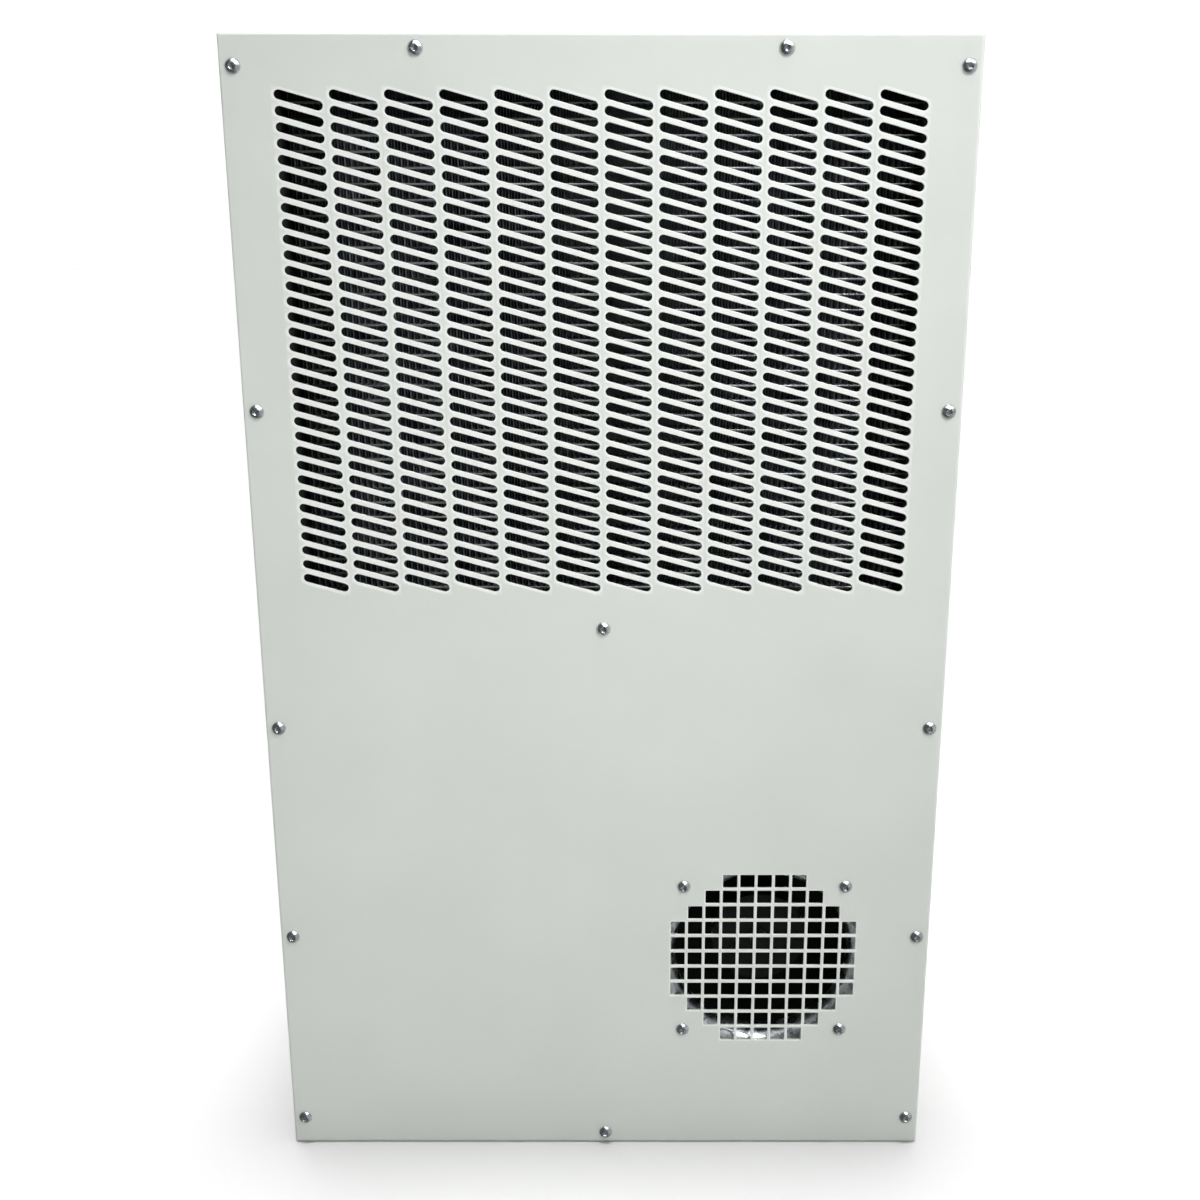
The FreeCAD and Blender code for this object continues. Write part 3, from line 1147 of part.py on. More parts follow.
def bent_pipe(radius, bend, points):
    """A round pipe along straight runs joined by tangent arcs."""
    edges = []
    start = points[0]
    for before, corner, after in zip(points, points[1:], points[2:]):
        back = (before - corner).normalize()
        ahead = (after - corner).normalize()
        half_turn = back.getAngle(ahead) / 2
        setback = bend / math.tan(half_turn)
        enter = corner + back * setback
        leave = corner + ahead * setback
        inward = (back + ahead).normalize()
        middle = corner + inward * (bend / math.sin(half_turn) - bend)
        if (enter - start).Length > SEAT_GAP:
            edges.append(Part.LineSegment(start, enter).toShape())
        edges.append(Part.Arc(enter, middle, leave).toShape())
        start = leave
    edges.append(Part.LineSegment(start, points[-1]).toShape())
    path = Part.Wire(edges)
    profile = Part.Wire(Part.makeCircle(radius, points[0], points[1] - points[0]))
    return path.makePipeShell([profile], True, False)


def discharge_pipe():
    """Hot gas from the compressor's lid to the top of the left header."""
    x = COMPRESSOR_X - DISCHARGE_OFFSET
    rise = SHELL_TOP + DISCHARGE_RISE
    return bent_pipe(PIPE_RADIUS, PIPE_BEND, [
        vec(x, COMPRESSOR_Y, SHELL_TOP),
        vec(x, COMPRESSOR_Y, rise),
        vec(-HEADER_X, COMPRESSOR_Y, rise),
        vec(-HEADER_X, COMPRESSOR_Y, DISCHARGE_ENTRY_Z),
        vec(-HEADER_X, CORE_Y + HEADER_RADIUS - HEADER_WALL, DISCHARGE_ENTRY_Z),
    ])


def liquid_pipe():
    """Liquid from the foot of the right header down to the filter drier."""
    return bent_pipe(PIPE_RADIUS, PIPE_BEND, [
        vec(HEADER_X, CORE_Y + HEADER_RADIUS - HEADER_WALL, LIQUID_EXIT_Z),
        vec(HEADER_X, PIPE_Y, LIQUID_EXIT_Z),
        vec(HEADER_X, PIPE_Y, DRIER_TOP),
    ])


def filter_drier():
    """Spun copper bottle between the liquid pipe and the expansion valve."""
    low = DRIER_BOTTOM
    cone = DRIER_CONE
    return turned_upright([(0, low), (DRIER_NECK, low), (DRIER_RADIUS, low + cone),
                           (DRIER_RADIUS, DRIER_TOP - cone), (DRIER_NECK, DRIER_TOP), (0, DRIER_TOP)],
                          HEADER_X, PIPE_Y)


def expansion_valve():
    """Brass valve body with its diaphragm head turned to the middle of the unit."""
    place = (HEADER_X, PIPE_Y)
    body = upright(VALVE_RADIUS, place, VALVE_BOTTOM, DRIER_BOTTOM)
    middle = (VALVE_BOTTOM + DRIER_BOTTOM) / 2
    neck_end = HEADER_X - VALVE_RADIUS - VALVE_NECK_LENGTH
    neck = rod(VALVE_NECK_RADIUS, vec(HEADER_X, PIPE_Y, middle), vec(neck_end, PIPE_Y, middle))
    head_end = neck_end - VALVE_HEAD_LENGTH
    head = rod(VALVE_HEAD_RADIUS, vec(neck_end, PIPE_Y, middle), vec(head_end, PIPE_Y, middle))
    rims = [e for e in head.Edges if e.Closed]
    return fused(body, neck, head.makeFillet(VALVE_HEAD_EDGE, rims))


def coil_row_z(row):
    return COIL_BOTTOM + (row + 0.5) * COIL_TUBE_PITCH


def coil_columns():
    return [COIL_Y + (i - (COIL_TUBE_COLUMNS - 1) / 2) * COIL_COLUMN_PITCH for i in range(COIL_TUBE_COLUMNS)]


def stub_end():
    """How far the coil's open tube ends reach past the middle."""
    return COIL_HALF_WIDTH + COIL_END_PLATE + COIL_STUB


def evaporator_feed_pipe():
    """Cold refrigerant from the valve through the partition to the foot of the coil."""
    entry_y = coil_columns()[0]
    z = coil_row_z(0)
    return bent_pipe(PIPE_RADIUS, TIGHT_BEND, [
        vec(HEADER_X, PIPE_Y, VALVE_BOTTOM),
        vec(HEADER_X, PIPE_Y, z),
        vec(HEADER_X, entry_y, z),
        vec(stub_end(), entry_y, z),
    ])


def suction_pipes():
    """Vapour from the top of the coil to the accumulator, and the elbow from there into the compressor."""
    exit_y = coil_columns()[-1]
    z = coil_row_z(COIL_TUBE_ROWS - 1)
    leg_y = LOWER_PARTITION - SUCTION_LEG_BEFORE_PARTITION
    main_run = bent_pipe(SUCTION_RADIUS, TIGHT_BEND, [
        vec(-stub_end(), exit_y, z),
        vec(SUCTION_X, exit_y, z),
        vec(SUCTION_X, leg_y, z),
        vec(ACCUMULATOR_X, leg_y, z),
        vec(ACCUMULATOR_X, COMPRESSOR_Y, z),
        vec(ACCUMULATOR_X, COMPRESSOR_Y, ACCUMULATOR_TOP),
    ])
    elbow_z = ACCUMULATOR_BOTTOM - SUCTION_ELBOW_DROP
    elbow = bent_pipe(SUCTION_RADIUS, TIGHT_BEND, [
        vec(ACCUMULATOR_X, COMPRESSOR_Y, ACCUMULATOR_BOTTOM),
        vec(ACCUMULATOR_X, COMPRESSOR_Y, elbow_z),
        vec(COMPRESSOR_X + COMPRESSOR_RADIUS - COMPRESSOR_WALL, COMPRESSOR_Y, elbow_z),
    ])
    shell = upright(COMPRESSOR_RADIUS, (COMPRESSOR_X, COMPRESSOR_Y), SHELL_BOTTOM, SHELL_JOIN)
    return group([main_run, elbow.cut(shell)])


# Evaporator and drain

def coil_tube_places():
    """Tube centres as (y, z)."""
    return [(y, coil_row_z(row)) for y in coil_columns() for row in range(COIL_TUBE_ROWS)]


def coil_plate(x, thickness, low, hole_radius):
    """A plate across the coil, bored for every tube."""
    outline = polygon([vec(x, COIL_FRONT, low), vec(x, COIL_FRONT + COIL_DEPTH, low),
                       vec(x, COIL_FRONT + COIL_DEPTH, COIL_TOP), vec(x, COIL_FRONT, COIL_TOP)])
    holes = [Part.Wire(Part.makeCircle(hole_radius, vec(x, y, z), vec(-1, 0, 0)))
             for y, z in coil_tube_places()]
    return Part.Face([outline] + holes).extrude(vec(thickness, 0, 0))


def evaporator_fins():
    """The fin pack as one bored block."""
    return coil_plate(-COIL_HALF_WIDTH, 2 * COIL_HALF_WIDTH, COIL_BOTTOM, COIL_TUBE_RADIUS)


def evaporator_end_plates():
    """Galvanised end plates, which stand on the drain pan's floor."""
    low = FLOOR_TOP + PAN_WALL
    hole = COIL_TUBE_RADIUS
    return group([coil_plate(-COIL_HALF_WIDTH - COIL_END_PLATE, COIL_END_PLATE, low, hole),
                  coil_plate(COIL_HALF_WIDTH, COIL_END_PLATE, low, hole)])


def evaporator_tubes():
    """Straight copper tubes through the fin pack."""
    inner = COIL_TUBE_RADIUS - COIL_TUBE_WALL
    reach = stub_end()
    return group([ring(COIL_TUBE_RADIUS, inner, vec(-reach, y, z), vec(reach, y, z))
                  for y, z in coil_tube_places()])


def half_bend(side, middle, offset):
    """A half-round bend towards one side; offset is half the way from its first tube to its second."""
    mouth = Part.Face(Part.Wire(Part.makeCircle(COIL_TUBE_RADIUS, middle - offset, vec(1, 0, 0))))
    return mouth.revolve(middle, vec(side, 0, 0).cross(offset).normalize(), 180)


def evaporator_return_bends():
    """Bends that make one path of the tubes: up the front column, down the next and up the last."""
    rise = vec(0, 0, COIL_TUBE_PITCH / 2)
    step = vec(0, COIL_COLUMN_PITCH / 2, 0)
    columns = coil_columns()
    last = COIL_TUBE_ROWS - 1
    bends = []
    for index, y in enumerate(columns):
        for row in range(last):
            side = -1 if row % 2 == 0 else 1
            middle = vec(side * stub_end(), y, coil_row_z(row)) + rise
            bends.append(half_bend(side, middle, rise))
        if index + 1 < len(columns):
            side = -1 if index % 2 == 0 else 1
            row = last if index % 2 == 0 else 0
            bends.append(half_bend(side, vec(side * stub_end(), y, coil_row_z(row)) + step, step))
    return group(bends)


def drain_pan():
    """Tray under the coil that catches its water."""
    front = LOWER_PARTITION + PARTITION + PAN_CLEARANCE
    rear = FRAME_REAR - SHEET - PAN_CLEARANCE
    outside = block(-PAN_HALF_WIDTH, PAN_HALF_WIDTH, front, rear, FLOOR_TOP, FLOOR_TOP + PAN_HEIGHT)
    inside = block(-PAN_HALF_WIDTH + PAN_WALL, PAN_HALF_WIDTH - PAN_WALL, front + PAN_WALL, rear - PAN_WALL,
                   FLOOR_TOP + PAN_WALL, FLOOR_TOP + PAN_HEIGHT)
    hole = rod(DRAIN_RADIUS, vec(DRAIN_X, COIL_Y, FLOOR_TOP), vec(DRAIN_X, COIL_Y, FLOOR_TOP + PAN_WALL))
    return outside.cut(inside).cut(hole)


def drain_outlet():
    """Flanged drain bush through the pan and the floor sheet."""
    seat = FLOOR_TOP + PAN_WALL
    low = BODY_BOTTOM - DRAIN_BELOW_FLOOR
    top = seat + DRAIN_FLANGE
    return turned_upright([(DRAIN_BORE, low), (DRAIN_RADIUS, low), (DRAIN_RADIUS, seat),
                           (DRAIN_FLANGE_RADIUS, seat), (DRAIN_FLANGE_RADIUS, top), (DRAIN_BORE, top)],
                          DRAIN_X, COIL_Y)


# Controls

def control_box():
    """Sheet tray on the partition, open to the rear, with posts for the board."""
    outside = block(BOX_LEFT, BOX_RIGHT, BOX_BACK, BOX_FACE, BOX_BOTTOM, BOX_TOP)
    inside = block(BOX_LEFT + BOX_SHEET, BOX_RIGHT - BOX_SHEET, BOX_BACK + BOX_SHEET, BOX_FACE,
                   BOX_BOTTOM + BOX_SHEET, BOX_TOP - BOX_SHEET)
    x0, x1, z0, z1 = board_edges()
    top = BOX_BACK + BOX_SHEET + STANDOFF_HEIGHT
    posts = [rod(STANDOFF_RADIUS, vec(x, BOX_BACK, z), vec(x, top, z))
             for x in (x0 + STANDOFF_INSET, x1 - STANDOFF_INSET)
             for z in (z0 + STANDOFF_INSET, z1 - STANDOFF_INSET)]
    return fused(outside.cut(inside), *posts)


def control_box_lid():
    return block(BOX_LEFT, BOX_RIGHT, BOX_FACE, BOX_FACE + BOX_SHEET, BOX_BOTTOM, BOX_TOP)


def board_edges():
    """Left, right, bottom and top of the control board."""
    return (BOX_LEFT + BOARD_INSET, BOX_RIGHT - BOARD_INSET,
            BOX_BOTTOM + BOARD_BOTTOM_INSET, BOX_TOP - BOARD_INSET)


def control_board():
    x0, x1, z0, z1 = board_edges()
    low = BOX_BACK + BOX_SHEET + STANDOFF_HEIGHT
    return block(x0, x1, low, low + BOARD, z0, z1)


def board_relays():
    x0, _, z0, _ = board_edges()
    seat = BOX_BACK + BOX_SHEET + STANDOFF_HEIGHT + BOARD
    left = x0 + STANDOFF_INSET * 2
    low = z0 + STANDOFF_INSET
    feet = [low + i * RELAY_PITCH for i in range(RELAY_COUNT)]
    return group([block(left, left + RELAY_SIZE, seat, seat + RELAY_HEIGHT, z, z + RELAY_SIZE) for z in feet])


def run_capacitor():
    """Motor capacitor, standing on the back of the control box."""
    x = BOX_LEFT + CAPACITOR_INSET
    z = BOX_BOTTOM + CAPACITOR_INSET
    seat = BOX_BACK + BOX_SHEET
    can = rod(CAPACITOR_RADIUS, vec(x, seat, z), vec(x, seat + CAPACITOR_LENGTH, z))
    rims = [e for e in can.Edges if e.Closed and e.BoundBox.YMin > seat + CAPACITOR_LENGTH / 2]
    return can.makeFillet(CAPACITOR_EDGE, rims)


def terminal_block():
    """Barrier strip on the control box lid, reached through the window in the rear plate."""
    seat = BOX_FACE + BOX_SHEET
    width = TERMINAL_WAYS * TERMINAL_PITCH + TERMINAL_BARRIER
    left = TERMINAL_X - width / 2
    low = TERMINAL_Z - TERMINAL_HEIGHT / 2
    body = block(left, left + width, seat, seat + TERMINAL_DEPTH, low, low + TERMINAL_HEIGHT)
    floor = seat + TERMINAL_DEPTH - TERMINAL_WELL
    wells = []
    for i in range(TERMINAL_WAYS):
        x0 = left + i * TERMINAL_PITCH + TERMINAL_BARRIER
        wells.append(block(x0, x0 + TERMINAL_PITCH - TERMINAL_BARRIER, floor, seat + TERMINAL_DEPTH,
                           low, low + TERMINAL_HEIGHT))
    return body.cut(group(wells))


def terminal_screws():
    """Brass clamp screws, two to a way."""
    floor = BOX_FACE + BOX_SHEET + TERMINAL_DEPTH - TERMINAL_WELL
    height = TERMINAL_WELL / 2
    screws = []
    for i in range(TERMINAL_WAYS):
        x = TERMINAL_X + (i - (TERMINAL_WAYS - 1) / 2) * TERMINAL_PITCH
        for z in (TERMINAL_Z - TERMINAL_HEIGHT / 4, TERMINAL_Z + TERMINAL_HEIGHT / 4):
            head = rod(TERMINAL_SCREW_RADIUS, vec(x, floor, z), vec(x, floor + height, z))
            slit = block(x - TERMINAL_SCREW_RADIUS, x + TERMINAL_SCREW_RADIUS,
                         floor + height / 2, floor + height,
                         z - TERMINAL_SCREW_SLOT / 2, z + TERMINAL_SCREW_SLOT / 2)
            screws.append(head.cut(slit))
    return group(screws)


def build():
    """Every node of the unit, by name."""
    parts = {
        "front_cover": front_cover(),
        "rear_panel": rear_panel(),
        "left_side_panel": side_panel(-1),
        "right_side_panel": side_panel(1),
        "base_panel": base_panel(),
        "top_panel": horizontal_panel(ROOF_UNDER, -1),
        "casing_rivets": casing_rivets(),
        "partition": partition(),
        "pipe_grommets": pipe_grommets(),
        "cross_rail": cross_rail(),
        "cover_seal": cover_seal(),
        "rear_seal": rear_seal(),
        "cover_screws": cover_screws(),
        "short_screws": short_screws(),
        "clinch_nuts": clinch_nuts(),
        "mounting_rivet_nuts": mounting_rivet_nuts(),
        "condenser_tubes": condenser_tubes(),
        "condenser_fins": condenser_fins(),
        "condenser_side_plates": condenser_side_plates(),
        "condenser_headers": condenser_headers(),
        "condenser_clamps": condenser_clamps(),
        "compressor_body": compressor_body(),
        "compressor_cap": compressor_cap(),
        "compressor_feet": compressor_feet(),
        "compressor_grommets": compressor_grommets(),
        "compressor_studs": compressor_studs(),
        "compressor_pump": compressor_pump(),
        "compressor_rotor": compressor_rotor(),
        "compressor_stator": compressor_stator(),
        "compressor_terminal_cover": compressor_terminal_cover(),
        "accumulator": accumulator(),
        "accumulator_strap": accumulator_strap(),
        "discharge_pipe": discharge_pipe(),
        "liquid_pipe": liquid_pipe(),
        "filter_drier": filter_drier(),
        "expansion_valve": expansion_valve(),
        "evaporator_feed_pipe": evaporator_feed_pipe(),
        "suction_pipes": suction_pipes(),
        "evaporator_fins": evaporator_fins(),
        "evaporator_end_plates": evaporator_end_plates(),
        "evaporator_tubes": evaporator_tubes(),
        "evaporator_return_bends": evaporator_return_bends(),
        "drain_pan": drain_pan(),
        "drain_outlet": drain_outlet(),
        "control_box": control_box(),
        "control_box_lid": control_box_lid(),
        "control_board": control_board(),
        "board_relays": board_relays(),
        "run_capacitor": run_capacitor(),
        "terminal_block": terminal_block(),
        "terminal_screws": terminal_screws(),
    }
    parts.update(fan_parts())
    return parts


def main():
    os.makedirs("parts", exist_ok=True)
    for name, shape in build().items():
        shape.exportStep(os.path.join("parts", name + ".step"))


main()
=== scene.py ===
"""Looks of the cabinet air conditioner.

Punched panels, screws, fins and foam strips are smooth surfaces worked out as whole arrays of points, in
millimetres, and every piece and every solid of the frame gets a finish made from nodes.
"""

import logging
import math
from dataclasses import dataclass, field, replace
from enum import Enum

import bmesh
import bpy
import numpy as np
from bpy.types import ID, Material, NodeSocket as Socket, NodeTree as Tree, Object, ShaderNode
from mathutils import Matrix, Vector


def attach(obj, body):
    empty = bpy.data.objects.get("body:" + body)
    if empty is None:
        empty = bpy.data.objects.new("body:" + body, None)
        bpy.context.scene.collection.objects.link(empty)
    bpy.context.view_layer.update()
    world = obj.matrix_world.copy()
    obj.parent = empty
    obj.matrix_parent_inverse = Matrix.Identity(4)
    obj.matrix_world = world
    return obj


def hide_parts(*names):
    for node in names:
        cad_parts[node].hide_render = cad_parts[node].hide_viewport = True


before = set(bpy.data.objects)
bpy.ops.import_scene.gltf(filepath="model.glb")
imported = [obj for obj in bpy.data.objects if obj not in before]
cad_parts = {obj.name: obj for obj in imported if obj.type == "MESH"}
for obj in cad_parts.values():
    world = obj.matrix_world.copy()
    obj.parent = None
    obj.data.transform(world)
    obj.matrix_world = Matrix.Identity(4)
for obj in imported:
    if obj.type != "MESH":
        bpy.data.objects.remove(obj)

LOG = logging.getLogger("cabinet_air_conditioner")
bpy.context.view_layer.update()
METRES_PER_MM = 0.001
SEED = 7
CASING_BODY = "casing"

# Two values, values along X, Y and Z, and left, right, bottom and top of an area seen head-on
Pair = tuple[float, float]
Triple = tuple[float, float, float]
Box = tuple[float, float, float, float]
Array = np.ndarray

# Points nearer to each other than this, in metres, are joined, and folds beyond this angle stay crisp
WELD = 1e-6
CRISP_ANGLE = math.radians(50)

# Casing sizes in millimetres
WIDTH = 446.0
HEIGHT = 746.0
SHEET = 1.5
BORDER = 3.0  # how far in a panel's rim meets its flat sheet
FRONT_FACE = -101.2
REAR_FACE = 98.8
COVER_BACK = FRONT_FACE + SHEET
FRONT_FAN = (109.0, 147.0)
REAR_FAN = (-85.0, 560.0)
MIDDLE_SCREW_HEIGHT = 385.3


class Facing(Enum):
    """The way that a panel looks, as the sign that turns its own across and inwards into X and Y."""

    FRONT = 1
    REAR = -1


class Grain(Enum):
    """How the fine relief of a finish runs, as the stretch of its pattern along X, Y and Z."""

    EVEN = (1.0, 1.0, 1.0)
    LINES_X = (0.03, 1.0, 1.0)
    LINES_Z = (1.0, 1.0, 0.03)
    LAYERS_Y = (0.02, 1.0, 0.02)
    LAYERS_Z = (0.02, 0.02, 1.0)


def linear(code: str) -> tuple[float, ...]:
    """Linear red, green, blue and alpha of an sRGB hex colour, by the curve of the sRGB standard."""
    parts = [int(code[i:i + 2], 16) / 255 for i in (1, 3, 5)]
    return *(c / 12.92 if c <= 0.04045 else ((c + 0.055) / 1.055) ** 2.4 for c in parts), 1.0


def add_node(tree: Tree, kind: str, inputs: dict | None = None, **settings: object) -> ShaderNode:
    """Adds a node with its settings, and fills or links its inputs.

    Args:
        tree: The node tree.
        kind: The node's type without its prefix.
        inputs: Values or output sockets by input name or number.
        **settings: The node's own properties.

    Returns:
        The new node.
    """
    made = tree.nodes.new("ShaderNode" + kind)
    for name, value in settings.items():
        setattr(made, name, value)
    for key, value in (inputs or {}).items():
        if isinstance(value, Socket):
            tree.links.new(value, made.inputs[key])
        else:
            made.inputs[key].default_value = value
    return made


# Finishes

# Noise seldom leaves this span, which is stretched to run from 0 to 1
CLOUD_SPAN = (0.3, 0.7)
# How much of the relief goes into the tone, and what is then taken off to keep the mean
RELIEF_IN_TONE = 0.35
TONE_OFFSET = 0.18


@dataclass(frozen=True)
class Finish:
    """A surface: two tones that drift into each other, a range of roughness and a fine relief."""

    name: str  # the real material and how its surface was made
    tones: tuple[str, str]  # darker and lighter sRGB colour
    drift_mm: float  # size of the patches that tone and roughness drift over
    rough: Pair  # smoothest and roughest value
    grain_mm: float  # size of the relief's features
    relief_mm: float
    grain: Grain = Grain.EVEN
    metal: float = 0.0
    gloss: float = 0.5  # how much the skin throws straight back; 0.5 is plain plastic
    run: Triple = (1.0, 1.0, 1.0)  # stretch of the drift; a small value draws it out that way

    def place(self, tree: Tree, stretch: Triple = (1.0, 1.0, 1.0)) -> Socket:
        """Gives object coordinates in millimetres.

        Args:
            tree: The material's nodes.
            stretch: What the coordinates are multiplied by along X, Y and Z.

        Returns:
            The coordinates.
        """
        at = add_node(tree, "TexCoord").outputs["Object"]
        scale = tuple(s / METRES_PER_MM for s in stretch)
        return add_node(tree, "Mapping", {"Vector": at, "Scale": scale}).outputs["Vector"]

    def drift(self, tree: Tree) -> Socket:
        """Draws the slow cloud that tone and roughness follow.

        Args:
            tree: The material's nodes.

        Returns:
            The cloud, from 0 to 1.
        """
        inputs = {"Vector": self.place(tree, self.run), "Scale": 1 / self.drift_mm, "Detail": 4.0}
        cloud = add_node(tree, "TexNoise", inputs).outputs["Fac"]
        low, high = CLOUD_SPAN
        span = {"Value": cloud, "From Min": low, "From Max": high}
        return add_node(tree, "MapRange", span).outputs["Result"]

    def relief(self, tree: Tree) -> Socket:
        """The height of the fine relief, from 0 to 1."""
        inputs = {"Vector": self.place(tree, self.grain.value), "Scale": 1 / self.grain_mm, "Detail": 3.0}
        return add_node(tree, "TexNoise", inputs).outputs["Fac"]

    def colour(self, tree: Tree, drift: Socket, relief: Socket) -> Socket:
        """Mixes the two tones by the drift, with a little of the relief in it.

        Args:
            tree: The material's nodes.
            drift: The slow cloud.
            relief: The height of the fine relief.

        Returns:
            The colour.
        """
        share = add_node(tree, "Math", {0: relief, 1: RELIEF_IN_TONE, 2: drift}, operation="MULTIPLY_ADD")
        inputs = {0: share.outputs[0], 1: TONE_OFFSET}
        share = add_node(tree, "Math", inputs, operation="SUBTRACT", use_clamp=True)
        dark, light = map(linear, self.tones)
        mixed = add_node(tree, "Mix", {0: share.outputs[0], 6: dark, 7: light}, data_type="RGBA")
        return self.coat(tree, mixed.outputs[2])

    def coat(self, tree: Tree, bare: Socket) -> Socket:
        """What lies over the mixed tones: nothing, on a plain finish."""
        return bare

    def material(self) -> Material:
        """Builds the finish, or returns it if it is built already.

        Returns:
            The material.
        """
        if self.name in bpy.data.materials:
            return bpy.data.materials[self.name]
        made = bpy.data.materials.new(self.name)
        made.use_nodes = True
        tree = made.node_tree
        tree.nodes.clear()
        drift = self.drift(tree)
        relief = self.relief(tree)
        low, high = self.rough
        rough = add_node(tree, "MapRange", {"Value": drift, "To Min": low, "To Max": high}).outputs["Result"]
        bump = add_node(tree, "Bump", {"Height": relief, "Distance": self.relief_mm * METRES_PER_MM})
        inputs = {"Base Color": self.colour(tree, drift, relief), "Roughness": rough, "Metallic": self.metal,
                  "Specular IOR Level": self.gloss, "Normal": bump.outputs["Normal"]}
        shader = add_node(tree, "BsdfPrincipled", inputs)
        add_node(tree, "OutputMaterial", {"Surface": shader.outputs["BSDF"]})
        made.diffuse_color = linear(self.tones[1])
        return made


@dataclass(frozen=True)
class PowderCoat(Finish):
    """Baked powder paint, with a painted highlight: a paler tone along punched edges, where they catch the
    light.
    """

    edge: str = "#e8ece7"  # tone of the painted edge highlight

    def coat(self, tree: Tree, bare: Socket) -> Socket:
        """The paint's tones, mixed with the painted edge highlight's tone by the mesh's own highlight mark.
        """
        # Painted highlight: the mark mixes the paler tone in along punched edges.
        mark = add_node(tree, "Attribute", attribute_name="punched_edge").outputs["Fac"]
        return add_node(tree, "Mix", {0: mark, 6: bare, 7: linear(self.edge)}, data_type="RGBA").outputs[2]


@dataclass(frozen=True)
class CoilMetal(Finish):
    """Coil aluminium, darkened toward the coil's ends as painted shade, where less light reaches the coil
    behind the end columns of slots.
    """

    shade_ends_mm: Pair = (157.0, 169.0)  # from the coil's middle, between which the painted shade darkens it
    shade_end_share: float = 0.4  # of its tone, left at the ends under the painted shade

    def coat(self, tree: Tree, bare: Socket) -> Socket:
        """Darkens the metal as painted shade by the distance from the coil's middle along X.

        Args:
            tree: The material's nodes.
            bare: The mixed tones.

        Returns:
            The colour.
        """
        # Painted shade: the metal darkens toward the coil's ends.
        across = add_node(tree, "SeparateXYZ", {"Vector": self.place(tree)}).outputs["X"]
        way = add_node(tree, "Math", {0: across}, operation="ABSOLUTE").outputs[0]
        near, far = self.shade_ends_mm
        span = {"Value": way, "From Min": near, "From Max": far, "To Min": 1.0, "To Max": self.shade_end_share}
        share = add_node(tree, "MapRange", span).outputs["Result"]
        return add_node(tree, "VectorMath", {0: bare, "Scale": share}, operation="SCALE").outputs[0]


@dataclass(frozen=True)
class Spangled(Finish):
    """Hot-dip zinc: flat crystals that each have a tone and a gloss of their own."""

    def drift(self, tree: Tree) -> Socket:
        """One grey value for each crystal."""
        cells = add_node(tree, "TexVoronoi", {"Vector": self.place(tree), "Scale": 1 / self.drift_mm})
        return add_node(tree, "SeparateXYZ", {"Vector": cells.outputs["Color"]}).outputs["X"]


@dataclass(frozen=True)
class Celled(Finish):
    """Closed-cell foam: a skin of small round pits."""

    def relief(self, tree: Tree) -> Socket:
        """The distance from the middle of the nearest cell."""
        cells = add_node(tree, "TexVoronoi", {"Vector": self.place(tree), "Scale": 1 / self.grain_mm})
        return cells.outputs["Distance"]


@dataclass(frozen=True)
class Tracked(Finish):
    """Green laminate with square-cornered tracks under its mask."""

    def relief(self, tree: Tree) -> Socket:
        """Lays courses of long bricks, whose joints are the tracks.

        Args:
            tree: The material's nodes.

        Returns:
            The height of the tracks, from 0 to 1.
        """
        turned = add_node(tree, "Mapping", {"Vector": self.place(tree), "Rotation": (math.pi / 2, 0.0, 0.0)})
        sizes = {"Vector": turned.outputs["Vector"], "Scale": 1 / self.grain_mm, "Mortar Size": 0.06,
                 "Brick Width": 3.0, "Row Height": 0.5}
        return add_node(tree, "TexBrick", sizes).outputs["Fac"]


# Powder-coated steel, sprayed and baked: light grey with a breath of green, satin, with a faint orange peel.
# The peel is about 1.2 mm in life and is drawn at 2.2 mm so that it shows.
POWDER_COAT = PowderCoat(
    "powder_coated_steel_baked", ("#d4d9d3", "#d9ddd8"), drift_mm=90.0, rough=(0.42, 0.5), grain_mm=2.2,
    relief_mm=0.012)
# Hot-dip galvanised sheet: cool grey metal in crystals about 7 mm across, each with its own gloss.
GALVANISED = Spangled(
    "galvanised_steel_spangled", ("#9fa5a8", "#c9cdcf"), drift_mm=7.0, rough=(0.3, 0.5), grain_mm=0.8,
    relief_mm=0.01, metal=1.0)
# The same sheet spun into a bell mouth: finer crystals, burnished smoother and paler by the roller.
SPUN_ZINC = replace(
    GALVANISED, name="galvanised_steel_spun", tones=("#aeb3b6", "#dcdfe1"), drift_mm=5.0, rough=(0.2, 0.34))
# Bright zinc plate over turned steel: mirror-like with a slight blue cast and fine scratches.
ZINC = Finish(
    "zinc_plated_steel_turned", ("#a4a9ad", "#d8dcde"), drift_mm=2.5, rough=(0.16, 0.26), grain_mm=0.35,
    relief_mm=0.006, metal=1.0)
# Closed-cell rubber foam, split from a block: dull charcoal, pitted with cells of about 0.9 mm.
FOAM = Celled(
    "foam_rubber_split", ("#1c1d1f", "#2c2d2f"), drift_mm=12.0, rough=(0.88, 0.97), grain_mm=0.9,
    relief_mm=0.12)
# Moulded black rubber: soft black with a greyish bloom.
RUBBER = Finish(
    "black_rubber_moulded", ("#131314", "#232425"), drift_mm=9.0, rough=(0.55, 0.75), grain_mm=0.6,
    relief_mm=0.02)
# Mill-finish aluminium: bright and oxide-dulled stretches along its length, their range widened into painted
# glints that differ from tube to tube, with fine rolling lines.
ALUMINIUM = CoilMetal(
    "aluminium_rolled", ("#3a3d40", "#f4f6f7"), drift_mm=9.0, rough=(0.2, 0.34), grain_mm=0.5,
    relief_mm=0.01, grain=Grain.LINES_X, metal=1.0, run=(0.12, 1.0, 1.0))
# Fin stock: thinner and duller aluminium, with dark tones that are painted shade for the shade deep in its
# folds.
FIN_STOCK = CoilMetal(
    "aluminium_fin_stock_folded", ("#434548", "#a9acae"), drift_mm=16.0, rough=(0.6, 0.78), grain_mm=0.7,
    relief_mm=0.01, metal=1.0)
# Black stoving paint over a welded shell: glossy, with a soft orange peel.
BLACK_PAINT = Finish(
    "black_paint_stoved", ("#0d0d0e", "#17181a"), drift_mm=40.0, rough=(0.26, 0.4), grain_mm=2.0,
    relief_mm=0.02)
